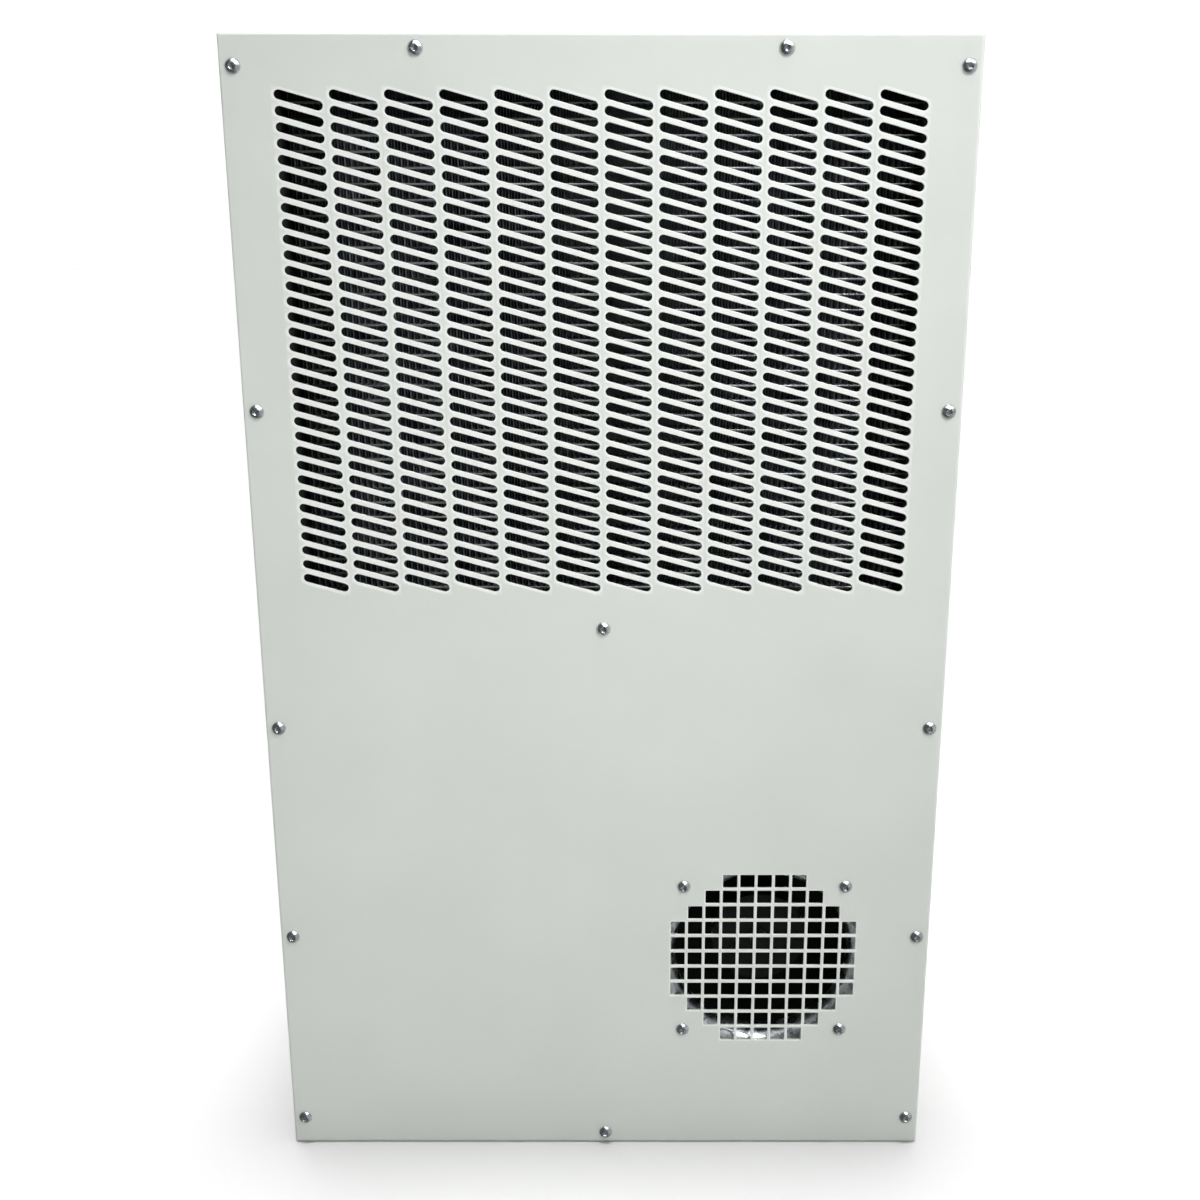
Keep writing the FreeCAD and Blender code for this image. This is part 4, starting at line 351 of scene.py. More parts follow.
# Black paint, dipped and dried: soft sags about 7 mm across that catch the light in places.
DIPPED_PAINT = Finish(
    "black_paint_dipped", ("#08090a", "#131415"), drift_mm=14.0, rough=(0.2, 0.55), grain_mm=7.0,
    relief_mm=0.3, gloss=0.3)
# Grey cast iron as it leaves the sand: dark, rough and grainy.
CAST_IRON = Finish(
    "cast_iron_sand_cast", ("#3b3c3d", "#565758"), drift_mm=6.0, rough=(0.6, 0.8), grain_mm=0.9,
    relief_mm=0.12, metal=0.8)
# Motor steel: stacked stampings whose edges show as layers. They are 0.5 mm in life and drawn at 1 mm.
MOTOR_STEEL = Finish(
    "motor_steel_stacked", ("#4d5053", "#7e8285"), drift_mm=10.0, rough=(0.35, 0.55), grain_mm=1.0,
    relief_mm=0.05, grain=Grain.LAYERS_Y, metal=1.0)
ROTOR_STEEL = replace(MOTOR_STEEL, name="motor_steel_stacked_upright", grain=Grain.LAYERS_Z)
# Glass-filled nylon, moulded: near black, satin, with pale fibres just under the skin.
NYLON = Finish(
    "black_nylon_moulded", ("#0c0d0e", "#17181a"), drift_mm=5.0, rough=(0.5, 0.66), grain_mm=0.5,
    relief_mm=0.015, grain=Grain.LINES_Z, gloss=0.2)
# Drawn copper tube: warm metal with browner patches where it was heated.
COPPER = Finish(
    "copper_drawn", ("#8f4f30", "#c27a52"), drift_mm=26.0, rough=(0.24, 0.42), grain_mm=0.5, relief_mm=0.008,
    metal=1.0)
# Turned brass: yellow metal with a fine tool finish.
BRASS = Finish(
    "brass_turned", ("#947434", "#c2a25a"), drift_mm=8.0, rough=(0.22, 0.38), grain_mm=0.4, relief_mm=0.008,
    metal=1.0)
# Moulded grey plastic: mid grey with a fine spark texture.
GREY_PLASTIC = Finish(
    "grey_plastic_moulded", ("#55595b", "#6b6f71"), drift_mm=15.0, rough=(0.45, 0.6), grain_mm=0.5,
    relief_mm=0.02)
# Glass-epoxy board under green solder mask: semi-gloss, with raised tracks 3 mm apart.
BOARD = Tracked(
    "board_laminate_masked", ("#0f4a2a", "#1f6b40"), drift_mm=20.0, rough=(0.25, 0.4), grain_mm=6.0,
    relief_mm=0.03)
# Deep-drawn aluminium can: bright, with draw lines along its length.
CAN = Finish(
    "capacitor_can_drawn", ("#9b9ea0", "#c6c9ca"), drift_mm=12.0, rough=(0.25, 0.4), grain_mm=0.4,
    relief_mm=0.008, grain=Grain.LINES_Z, metal=1.0)


# Surfaces

def joined(*parts: Array | float) -> Array:
    """Spreads coordinates to a common shape and joins them into points."""
    return np.stack(np.broadcast_arrays(*parts), axis=-1)


def directions(turn: Array) -> Array:
    """Unit vectors at angles from the first axis."""
    return joined(np.cos(turn), np.sin(turn))


def quarter_round(radius: float, rows: int) -> Array:
    """A rounded edge, radius * (1 - cos a) in and radius * (1 - sin a) deep over a quarter turn a."""
    return radius * (1 - directions(np.linspace(0, np.pi / 2, rows)))


def grid_faces(count: int, rows: int, columns: int, ring: bool) -> Array:
    """Joins neighbouring points of equal grids into quads.

    Args:
        count: How many grids there are.
        rows: Rows in each grid.
        columns: Columns in each grid.
        ring: Whether the last column joins the first.

    Returns:
        Four point numbers for each face.
    """
    index = np.arange(count * rows * columns).reshape(count, rows, columns)
    if ring:
        index = np.concatenate([index, index[:, :, :1]], axis=2)
    corners = [index[:, :-1, :-1], index[:, :-1, 1:], index[:, 1:, 1:], index[:, 1:, :-1]]
    return np.stack(corners, axis=-1).reshape(-1, 4)


def inside(inset: float) -> Box:
    """The casing's outline seen head-on, drawn in by the same inset on every side."""
    return inset - WIDTH / 2, WIDTH / 2 - inset, inset, HEIGHT - inset


def rounded_loop(box: Box, radius: float, inset: Array, steps: int) -> Array:
    """Loops inside a rounded rectangle, anticlockwise from its lower right corner.

    Each corner is an arc about a centre that lies radius in from both sides; a loop that is further in than
    the radius has sharp corners.

    Args:
        box: Left, right, bottom and top.
        radius: The outline's corner radius.
        inset: How far in each loop lies.
        steps: Segments round each corner.

    Returns:
        Points of shape (loops, 4 * (steps + 1), 2).
    """
    left, right, bottom, top = box
    turn = np.linspace(0, np.pi / 2, steps + 1) + np.arange(-1, 3)[:, None] * np.pi / 2
    sides = np.array([(right, bottom), (right, top), (left, top), (left, bottom)])
    inward = np.array([(-1, 1), (-1, -1), (1, -1), (1, 1)])
    inset = np.asarray(inset, float)[:, None, None, None]
    centre = sides[:, None] + inward[:, None] * np.maximum(radius, inset)
    loops = centre + directions(turn) * np.maximum(radius - inset, 0)
    return loops.reshape(len(loops), -1, 2)


def with_depth(points: Array, depth: Array | float) -> Array:
    """Adds depths to flat points."""
    return joined(points[..., 0], points[..., 1], depth)


def on_panel(points: Array, facing: Facing, plane: float) -> Array:
    """Carries (across, height, depth) points of a panel seen head-on to X, Y and Z."""
    across, height, depth = np.moveaxis(points, -1, 0)
    return joined(facing.value * across, plane + facing.value * depth, height)


def add_object(name: str, data: ID) -> Object:
    """Makes an object and links it into the scene.

    Args:
        name: The object's name.
        data: Its mesh, lamp or camera.

    Returns:
        The object.
    """
    made = bpy.data.objects.new(name, data)
    bpy.context.scene.collection.objects.link(made)
    return made


class Shape:
    """Grids of points, in millimetres, that become one mesh."""

    def __init__(self) -> None:
        """Starts with no points."""
        self.points: list[Array] = []
        self.faces: list[Array] = []
        self.highlight_marks: list[Array] = []
        self.total = 0

    def add(self, grid: Array, ring: bool = False, mark: Array | float = 0.0) -> None:
        """Adds grids of points.

        Args:
            grid: Points of shape (grids, rows, columns, 3).
            ring: Whether each row closes on itself.
            mark: Share of the painted edge highlight at each point in a grid, from 0 to 1.
        """
        self.faces.append(grid_faces(*grid.shape[:3], ring) + self.total)
        self.points.append(grid.reshape(-1, 3))
        self.highlight_marks.append(np.broadcast_to(mark, grid.shape[:3]).ravel())
        self.total += len(self.points[-1])

    def carry(self, rows: Array, box: Box, corner: float, steps: int, facing: Facing,
              plane: float) -> None:
        """Carries a section, as (inset, depth) rows, round a rounded rectangle on a panel."""
        loops = with_depth(rounded_loop(box, corner, rows[:, 0], steps), rows[:, 1:])
        self.add(on_panel(loops[None], facing, plane), ring=True)

    def piece(self, name: str, finish: Finish, slot: str, replaced: str) -> Object:
        """Makes the mesh and its object, closed at seams and poles, and sets it on the casing.

        Args:
            name: The piece's name.
            finish: What it is made of.
            slot: The record's material slot. Not used.
            replaced: The solid it stands for.

        Returns:
            The object.
        """
        mesh = bpy.data.meshes.new(name)
        points = np.concatenate(self.points) * METRES_PER_MM
        mesh.from_pydata(points.tolist(), [], np.concatenate(self.faces).tolist())
        # Painted highlight: each point's share of the powder coat's paler edge tone.
        mark = mesh.attributes.new("punched_edge", "FLOAT", "POINT")
        mark.data.foreach_set("value", np.concatenate(self.highlight_marks).astype(np.float32))
        work = bmesh.new()
        work.from_mesh(mesh)
        bmesh.ops.remove_doubles(work, verts=work.verts, dist=WELD)
        work.to_mesh(mesh)
        work.free()
        mesh.polygons.foreach_set("use_smooth", np.ones(len(mesh.polygons), bool))
        mesh.set_sharp_from_angle(angle=CRISP_ANGLE)
        mesh.materials.append(finish.material())
        made = add_object(name, mesh)
        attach(made, CASING_BODY)
        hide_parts(replaced)
        LOG.info("%s: %d faces, stands for %s", name, len(mesh.polygons), replaced)
        return made


def add_fins(name: str, replaced: str, points: Array, foil: float) -> None:
    """Makes a coil's fins of foil whose thickness lies half to each side of the points.

    Args:
        name: The piece's name.
        replaced: The solid it stands for.
        points: Grids of points, in millimetres.
        foil: The thickness, in millimetres.
    """
    shape = Shape()
    shape.add(points)
    thick = shape.piece(name, FIN_STOCK, "aluminium", replaced).modifiers.new("foil", "SOLIDIFY")
    thick.thickness = foil * METRES_PER_MM
    thick.offset = 0.0


def dress_solids(finishes: dict[Finish, tuple[str, ...]]) -> None:
    """Gives solids of the frame their finishes.

    Args:
        finishes: The solids' names by finish.
    """
    for finish, names in finishes.items():
        for name in names:
            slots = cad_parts[name].data.materials
            slots.clear()
            slots.append(finish.material())
            LOG.info("%s: %s", name, finish.name)


# Casing

@dataclass(frozen=True)
class SlotSize:
    """The slanted slots of both panels; the right end is lower."""

    length: float = 29.5
    width: float = 5.5
    tilt: float = math.radians(15.5)
    column_pitch: float = 32.3
    row_pitch: float = 9.15
    arc_steps: int = 8
    fade: float = 1.6  # how far past the straight sides a tile's edge follows the slant
    highlight_span: Pair = (0.95, 1.4)  # how far from the hole the painted edge highlight is full, and how far it still shows at half
    tooth_step: float = 0.4  # strip along the slant above and below a column
    tooth_room: float = 1.0  # from the saw teeth to the edge of the field


@dataclass(frozen=True)
class CellSize:
    """The square cells of both round grilles."""

    side: float = 9.75
    web: float = 2.0
    corner: float = 0.4
    per_row: tuple[int, ...] = (5, 7, 9, 11, 11, 11, 11, 11, 9, 7, 5)
    # Span of the painted edge highlight round each cell, as for the slots
    highlight_span: Pair = (0.6, 0.85)


@dataclass
class PunchedPanel:
    """A sheet with a field of slots, a round grille of cells and perhaps a window.

    The panel is a mosaic: a tile round each hole, plain quads between, and a rim carried round its outline.
    Its own coordinates are across, height and depth as seen head-on.
    """

    name: str
    node: str
    facing: Facing
    plane: float
    columns: int
    rows: int
    first_row: float
    fan: Pair  # middle of the grille
    rim: Array  # (inset, depth) rows of its section
    window: Pair | None = None  # its middle
    window_size: Pair = (70.0, 36.0)
    window_corner: float = 3.0
    corner: float = 3.0
    corner_steps: int = 4
    lip: float = 0.35
    lip_rows: int = 3
    shoulder: float = 1.45  # how many lips from a hole the sheet is held flat
    slot: SlotSize = SlotSize()
    cell: CellSize = CellSize()
    shape: Shape = field(default_factory=Shape)

    def tile(self, anchors: Array, normals: Array, radius: float, edge: Array, highlight_span: Pair) -> Array:
        """Rings from a tile's edge on the face, over the rolled paint lip, down the hole and out on the back.

        A ring of the hole is anchors + normals * (radius + offset); along the lip's quarter turn a the offset
        is lip * (1 - sin a) and the depth lip * (1 - cos a).

        Args:
            anchors: Centres of the outline's arcs, one for each point.
            normals: Outward directions.
            radius: The arcs' radius.
            edge: The tile's edge, point for point.
            highlight_span: How far from the hole the painted edge highlight is full, and how far it still
                shows at half.

        Returns:
            Points of shape (rings, points, 3), across, height and depth.
        """
        down, out = quarter_round(self.lip, self.lip_rows).T
        offset = np.concatenate([highlight_span[::-1], [self.shoulder * self.lip], out, [0]])
        depth = np.concatenate([[0, 0, 0, 0], down, [SHEET, SHEET]])
        inner = anchors + normals * (radius + offset[:, None, None])
        return with_depth(np.concatenate([edge[None], inner, edge[None]]), depth[:, None])

    def lay(self, tile: Array, centres: Array, kept_highlight: Array | float = 0.0) -> None:
        """Repeats a pierced tile at each centre.

        Args:
            tile: The tile's rings.
            centres: Where the tiles lie.
            kept_highlight: Share of the painted edge highlight at each point on the tile's edge. The share is
                at least half on the next ring,
            and 1 nearer the hole.
        """
        grid = tile + with_depth(centres, 0.0)[:, None, None]
        # Painted highlight: full near the hole, at least half on the next ring, and on the tile's edge only
        # where kept.
        mark = np.ones(tile.shape[:2])
        mark[0] = kept_highlight
        mark[1] = np.maximum(kept_highlight, 0.5)
        self.shape.add(on_panel(grid, self.facing, self.plane), ring=True, mark=mark)

    def flats(self, quads: Array) -> None:
        """Adds plain grids, of shape (grids, rows, columns, 2), on the face and turned over on the back."""
        for depth, flat in ((0.0, quads), (SHEET, quads[:, :, ::-1])):
            self.shape.add(on_panel(with_depth(flat, depth), self.facing, self.plane))

    def slots(self) -> Box:
        """Lays the slots as slanted tiles, and fills the saw teeth above and below each column.

        Each end of a slot is a half turn t; its tile's edge runs up the column's side, but where the slot's
        straight sides begin it lies above and below them, and there the painted edge highlights of neighbours
        meet.

        Returns:
            Left, right, bottom and top of the field.
        """
        size = self.slot
        half_pitch = size.column_pitch / 2
        turn = np.linspace(-np.pi / 2, np.pi / 2, size.arc_steps + 1)
        # Painted highlight kept on the tile's edge above and below the straight sides, on the thin webs
        # between slots.
        kept_highlight = np.tile(np.isclose(np.abs(np.sin(turn)), 1.0), 2)
        turn = np.concatenate([turn, turn + np.pi]) - size.tilt
        side = np.repeat([1.0, -1.0], size.arc_steps + 1)
        along = np.array([math.cos(size.tilt), -math.sin(size.tilt)])
        anchors = side[:, None] * along * (size.length - size.width) / 2
        normals = directions(turn)
        slope = math.tan(size.tilt)
        run, bend = anchors[0, 0] + np.array([0.0, size.fade])
        flank = size.arc_steps - 3
        out = np.tile([run, bend] + [half_pitch] * flank + [bend, run], 2)
        climb = np.tile([-0.5, -0.5, *np.linspace(-0.5, 0.5, flank), 0.5, 0.5], 2) * size.row_pitch
        edge = joined(out * side, side * (climb - slope * out))
        across = (np.arange(self.columns) - (self.columns - 1) / 2) * size.column_pitch
        heights = self.first_row - np.arange(self.rows) * size.row_pitch
        centres = joined(*np.meshgrid(across, heights)).reshape(-1, 2)
        self.lay(self.tile(anchors, normals, size.width / 2, edge, size.highlight_span), centres, kept_highlight)
        top = heights[0] + size.row_pitch / 2
        low = heights[-1] - size.row_pitch / 2
        reach = slope * half_pitch + size.tooth_room
        way = np.array([-half_pitch, -bend, -run, run, bend, half_pitch])
        slant = -slope * way
        level = np.zeros(len(way))
        upper = np.stack([top + slant, top + slant + size.tooth_step, top + reach + level])
        lower = np.stack([low - reach + level, low + slant - size.tooth_step, low + slant])
        for rows in (upper, lower):
            self.flats(joined(across[:, None, None] + way, rows))
        return across[0] - half_pitch, across[-1] + half_pitch, low - reach, top + reach

    def punch(self, centres: Array, half: Array, corner: float, margin: float, highlight_span: Pair) -> None:
        """Lays rounded rectangular holes, three points to a corner.

        Each corner is a quarter turn about an anchor that lies its radius in from both sides; of the tile's
        three points there, the middle one is its corner and the others lie margin back along its sides.

        Args:
            centres: Where the holes lie.
            half: Half the width and height of a hole.
            corner: Radius of its corners.
            margin: How far beyond the hole the tile reaches.
            highlight_span: How far from the hole the painted edge highlight is full, and how far it still
                shows at half.
        """
        turn = np.radians(np.array([0, 45, 90]) + np.arange(-90, 270, 90)[:, None])
        signs = np.array([(1, -1), (1, 1), (-1, 1), (-1, -1)], float)
        anchors = np.repeat(signs * (half - corner), 3, axis=0)
        normals = directions(turn).reshape(-1, 2)
        back = np.array([[(-1, 0), (0, 0), (0, 1)], [(0, -1), (0, 0), (-1, 0)],
                         [(1, 0), (0, 0), (0, -1)], [(0, 1), (0, 0), (1, 0)]], float)
        edge = (signs[:, None] * (half + margin) + back * margin).reshape(-1, 2)
        self.lay(self.tile(anchors, normals, corner, edge, highlight_span), centres)

    def grille(self) -> Box:
        """Lays the cells, and plain tiles in the corners of the block that they leave.

        Returns:
            Left, right, bottom and top of the block.
        """
        size = self.cell
        pitch = size.side + size.web
        rows = len(size.per_row)
        step = np.arange(rows) - (rows - 1) / 2
        spots = joined(*np.meshgrid(step, -step))
        pierced = np.abs(spots[..., 0]) <= (np.array(size.per_row)[:, None] - 1) / 2
        centres = spots * pitch + np.array(self.fan)
        half = np.full(2, size.side / 2)
        self.punch(centres[pierced], half, size.corner, size.web / 2, size.highlight_span)
        corners = np.array([[(-1, -1), (1, -1)], [(-1, 1), (1, 1)]]) * pitch / 2
        self.flats(centres[~pierced][:, None, None] + corners)
        reach = rows * pitch / 2
        return self.fan[0] - reach, self.fan[0] + reach, self.fan[1] - reach, self.fan[1] + reach

    def opening(self) -> Box:
        """Lays the window's tile.

        Returns:
            Left, right, bottom and top of the tile.
        """
        middle = np.array(self.window)
        half = np.array(self.window_size) / 2
        margin = 2 * self.window_corner
        self.punch(middle[None], half, self.window_corner, margin, self.slot.highlight_span)
        left, bottom = middle - half - margin
        right, top = middle + half + margin
        return left, right, bottom, top

    def fill(self, taken: list[Box]) -> None:
        """Covers the rest of the sheet with the cells of a grid drawn through every edge of what is taken.

        Args:
            taken: The areas that are covered already.
        """
        edges = np.array([*taken, inside(BORDER)])
        across = np.unique(edges[:, :2])
        heights = np.unique(edges[:, 2:])
        middle_x, middle_z = np.meshgrid((across[1:] + across[:-1]) / 2, (heights[1:] + heights[:-1]) / 2)
        free = np.ones(middle_x.shape, bool)
        for left, right, bottom, top in taken:
            free &= (middle_x < left) | (middle_x > right) | (middle_z < bottom) | (middle_z > top)
        points = joined(*np.meshgrid(across, heights))
        corners = [points[:-1, :-1], points[:-1, 1:], points[1:, :-1], points[1:, 1:]]
        self.flats(np.stack(corners, axis=2)[free].reshape(-1, 2, 2, 2))

    def build(self) -> None:
        """Builds the panel."""
        taken = [self.slots(), self.grille()]
        if self.window:
            taken.append(self.opening())
        self.fill(taken)
        self.shape.carry(self.rim, inside(0.0), self.corner, self.corner_steps, self.facing, self.plane)
        self.shape.piece(self.name, POWDER_COAT, "powder_coated_steel", self.node)


@dataclass
class FoamStrip:
    """A foam frame, and perhaps a bar across it, cut from sheet with softly rounded edges."""

    name: str
    node: str
    facing: Facing
    plane: float
    inset: float  # from the casing's outline
    width: float
    thickness: float
    outward: bool  # whether it stands out from the plane or lies behind it
    bar: Pair | None = None  # its lower and upper edge
    corner: float = 3.0
    softness: float = 0.8
    edge_rows: int = 5
    frame_steps: int = 4
    bar_steps: int = 2

    def section(self, width: float, closed: bool) -> Array:
        """The strip's cross-section as (inset, depth) rows, from its back over its face.

        Each upper edge is a quarter round of radius softness. A closed section comes down again at the
        inner edge.

        Args:
            width: How far in the section reaches.
            closed: Whether it ends on its back, as a frame does, or at its middle, as a bar does.

        Returns:
            Rows of (inset, depth).
        """
        back, face = (0.0, -self.thickness) if self.outward else (self.thickness, 0.0)
        inset, depth = quarter_round(self.softness, self.edge_rows).T
        outer = joined(inset, face + depth)
        if not closed:
            return np.concatenate([[(width, back), (0, back)], outer, [(width, face)]])
        inner = joined(width - inset, face + depth)[::-1]
        return np.concatenate([[(0, back)], outer, inner, [(width, back), (0, back)]])

    def build(self) -> None:
        """Builds the strip."""
        shape = Shape()
        rows = self.section(self.width, True)
        shape.carry(rows, inside(self.inset), self.corner, self.frame_steps, self.facing, self.plane)
        if self.bar:
            left, right = inside(self.inset + self.width)[:2]
            bottom, top = self.bar
            rows = self.section((top - bottom) / 2, False)
            box = (left, right, bottom, top)
            shape.carry(rows, box, self.softness, self.bar_steps, self.facing, self.plane)
        made = shape.piece(self.name, FOAM, "foam_rubber", self.node)


@dataclass
class Casing:
    """The sheet-metal casing: both punched panels, the foam strips and the solids that stay as they are."""

    rim_depth: float = 20.0
    bend: float = 2.0
    bend_rows: int = 7
    edge: float = 0.3
    edge_middle: float = 0.3  # share of the softened edge by which its middle lies in
    cover_corner: float = 1.2
    cover_slots: tuple[int, int] = (12, 33)  # columns and rows
    cover_slot_drop: float = 37.1
    rear_slots: tuple[int, int] = (11, 25)
    rear_last_row: float = 84.0
    window: Pair = (-126.0, 424.0)  # in the rear plate, seen from behind
    cover_seal: Triple = (2.0, 17.5, 2.0)  # inset, width and thickness
    rear_seal: Triple = (24.0, 12.0, 5.0)
    rail_half: float = 12.0

    def cover_rim(self) -> Array:
        """The cover's folded rim, from the back of the face round to its front.

        The outer bend is a quarter round of radius bend.

        Returns:
            Rows of (inset, depth).
        """
        fold = quarter_round(self.bend, self.bend_rows)
        end = self.rim_depth
        inner = [(BORDER, SHEET), (SHEET, SHEET), (SHEET, end - self.edge), (SHEET - self.edge, end)]
        return np.concatenate([inner, [(self.edge, end), (0.0, end - self.edge)], fold, [(BORDER, 0.0)]])

    def plate_rim(self) -> Array:
        """The rear plate's softened edge, from its back to its face.

        Returns:
            Rows of (inset, depth).
        """
        edge = self.edge
        middle = self.edge_middle * edge
        back = [(BORDER, SHEET), (edge, SHEET), (0.0, SHEET - edge)]
        return np.array(back + [(0.0, edge), (middle, middle), (edge, 0.0), (BORDER, 0.0)])

    def build(self) -> None:
        """Builds the panels and the foam, and dresses the rest of the casing."""
        first_row = HEIGHT - self.cover_slot_drop
        PunchedPanel("front_cover_punched", "front_cover", Facing.FRONT, FRONT_FACE, *self.cover_slots,
                     first_row, FRONT_FAN, self.cover_rim(), corner=self.cover_corner).build()
        first_row = self.rear_last_row + (self.rear_slots[1] - 1) * SlotSize.row_pitch
        PunchedPanel("rear_plate_punched", "rear_panel", Facing.REAR, REAR_FACE, *self.rear_slots,
                     first_row, (-REAR_FAN[0], REAR_FAN[1]), self.plate_rim(), self.window).build()
        rail = (MIDDLE_SCREW_HEIGHT - self.rail_half, MIDDLE_SCREW_HEIGHT + self.rail_half)
        FoamStrip("cover_seal_foam", "cover_seal", Facing.FRONT, COVER_BACK, *self.cover_seal, False,
                  rail).build()
        FoamStrip("rear_seal_foam", "rear_seal", Facing.REAR, REAR_FACE, *self.rear_seal, True).build()
        self.dress()

    def dress(self) -> None:
        """Gives the solids that stay their finishes."""
        dress_solids({
            POWDER_COAT: ("left_side_panel", "right_side_panel", "top_panel", "base_panel"),
            GALVANISED: ("partition", "cross_rail"),
            ZINC: ("casing_rivets", "clinch_nuts", "mounting_rivet_nuts"),
            RUBBER: ("pipe_grommets",),
        })


# Fasteners

@dataclass
class ScrewSet:
    """Socket button-head screws turned in one go: tip, shank, domed head and hexagon socket."""

    name: str
    node: str
    grip: float
    places: list[tuple[Facing, float, float]]  # panel, place across and height
    shank: float = 2.5
    head: float = 4.6
    height: float = 2.6
    land: float = 0.35
    flat: float = 2.05
    socket: float = 3.0
    socket_depth: float = 1.6
    tip_bevel: float = 0.7
    foot_bevel: Pair = (0.15, 0.12)  # under the head's edge, inward and forward
    flare: float = 1.3  # width of the socket's mouth over its hexagon
    flare_depth: float = 0.45
    cone: float = 0.5  # depth of the drill's mark in the socket's floor
    dome_rows: int = 7
    sides: int = 36

    def profile(self) -> Array:
        """Rows of (round radius, share of hexagon, depth) from the tip to the bottom of the socket.

        The dome is an arc that starts above a narrow land at the head's edge and ends at the flat on top; its
        centre lies on the axis, at the depth from which both ends are equally far.

        Returns:
            The rows.
        """
        rise = self.height - self.land
        centre = (self.head ** 2 - self.flat ** 2 - rise ** 2) / (2 * rise)
        radius = math.hypot(self.head, centre)
        turn = np.linspace(math.asin(self.head / radius), math.asin(self.flat / radius), self.dome_rows)
        dome = joined(radius * np.sin(turn), 0, centre - radius * np.cos(turn) - self.land)
        tip = [(0, 0, self.grip), (self.shank - self.tip_bevel, 0, self.grip)]
        shank = [(self.shank, 0, self.grip - self.tip_bevel), (self.shank, 0, 0)]
        inward, forward = self.foot_bevel
        foot = [(self.head - inward, 0, 0), (self.head, 0, -forward)]
        across = self.socket / 2
        floor = self.socket_depth - self.height
        mouth = [(across, self.flare, -self.height), (across, 1, self.flare_depth - self.height)]
        hexagon = [(across, 1, floor), (0, 0, floor + self.cone)]
        return np.concatenate([tip, shank, foot, dome, mouth, hexagon])

    def build(self) -> None:
        """Turns every screw of the set, each stopped at an angle of its own.

        A hexagon row's radius at angle t is half the flats over the cosine of the angle to the nearest flat.
        """
        rows = self.profile()
        angle = np.arange(self.sides) * 2 * np.pi / self.sides
        flats = 1 / np.cos((angle + np.pi / 6) % (np.pi / 3) - np.pi / 6)
        radius = rows[:, :1] * np.where(rows[:, 1:2] > 0, rows[:, 1:2] * flats, 1.0)
        stop = np.random.default_rng(SEED).uniform(0, np.pi / 3, len(self.places))
        turned = angle + stop[:, None, None]
        side = np.array([facing.value for facing, _, _ in self.places])[:, None, None]
        x, z = np.array([place[1:] for place in self.places]).T[:, :, None, None]
        y = np.where(side > 0, FRONT_FACE, REAR_FACE) + side * rows[:, 2:]
        shape = Shape()
        shape.add(joined(x + side * radius * np.cos(turned), y, z + radius * np.sin(turned)), ring=True)
        shape.piece(self.name, ZINC, "zinc_plated_steel", self.node)


@dataclass
class Fasteners:
    """Every visible screw."""

    cover_grip: float = 11.5
    short_grip: float = 8.0
    edge_inset: float = 8.5
    top_across: float = 108.0
    side_drops: tuple[float, ...] = (18.4, 220.07, 429.17, 582.03, 725.4)
    ring_half: float = 55.0
    rear_across: float = 212.0
    rear_heights: tuple[float, ...] = (91.76, 240.21, 519.96, 716.0)

    def ring(self, facing: Facing, fan: Pair) -> list[tuple[Facing, float, float]]:
        """Where the four screws of an inlet ring sit."""
        half = self.ring_half
        return [(facing, fan[0] + i * half, fan[1] + k * half) for i in (-1, 1) for k in (-1, 1)]

    def build(self) -> None:
        """Builds the long cover screws and the short ones."""
        side = WIDTH / 2 - self.edge_inset
        cover = [(Facing.FRONT, i * side, HEIGHT - drop) for i in (-1, 1) for drop in self.side_drops]
        cover += [(Facing.FRONT, i * self.top_across, HEIGHT - self.edge_inset) for i in (-1, 1)]
        cover += [(Facing.FRONT, 0.0, self.edge_inset), (Facing.FRONT, 0.0, MIDDLE_SCREW_HEIGHT)]
        ScrewSet("cover_screws_turned", "cover_screws", self.cover_grip, cover).build()
        short = self.ring(Facing.FRONT, FRONT_FAN) + self.ring(Facing.REAR, REAR_FAN)
        short += [(Facing.REAR, i * self.rear_across, z) for i in (-1, 1) for z in self.rear_heights]
        ScrewSet("short_screws_turned", "short_screws", self.short_grip, short).build()


# Heat exchangers

@dataclass
class Condenser:
    """The brazed aluminium coil behind the slots, with folded fins between its flat tubes."""

    half_width: float = 189.5
    front: float = -81.7
    depth: float = 18.0
    first_band: float = 399.3
    bands: int = 34
    band_pitch: float = 9.4
    band_height: float = 7.9
    leg_pitch: float = 1.9
    lean: float = 0.04
    foil: float = 0.14
    unevenness: float = 0.03

    def build(self) -> None:
        """Folds one strip of foil up and down in each gap between tubes.

        The strip's path has two points to a leg, at its foot and its head, with the foot and head swapped on
        every other leg, so that flats join the legs at the tubes; the path is carried straight back.
        """
        legs = int(2 * self.half_width / self.leg_pitch)
        leg = np.arange(legs)
        x = (leg - (legs - 1) / 2) * self.leg_pitch
        across = joined(x - self.lean, x + self.lean).ravel()
        climb = joined(leg % 2, 1 - leg % 2).ravel()
        dents = np.random.default_rng(SEED).normal(0, self.unevenness, (self.bands, 1, legs))
        dents = dents.repeat(2, axis=2)
        inset = self.foil / 2
        low = self.first_band + inset + np.arange(self.bands)[:, None, None] * self.band_pitch
        height = low + climb * (self.band_height - 2 * inset)
        y = np.array([self.front + inset, self.front + self.depth - inset])[:, None]
        points = joined(across + dents, y, height)
        add_fins("condenser_fins_folded", "condenser_fins", points, self.foil)
        self.dress()

    def dress(self) -> None:
        """Gives the coil's solids their finishes."""
        dress_solids({
            ALUMINIUM: ("condenser_tubes",),
            # Painted shade: black paint on the headers and side plates stands for the shade at the coil's
            # ends.
            BLACK_PAINT: ("condenser_side_plates", "condenser_headers"),
            GALVANISED: ("condenser_clamps",),
        })


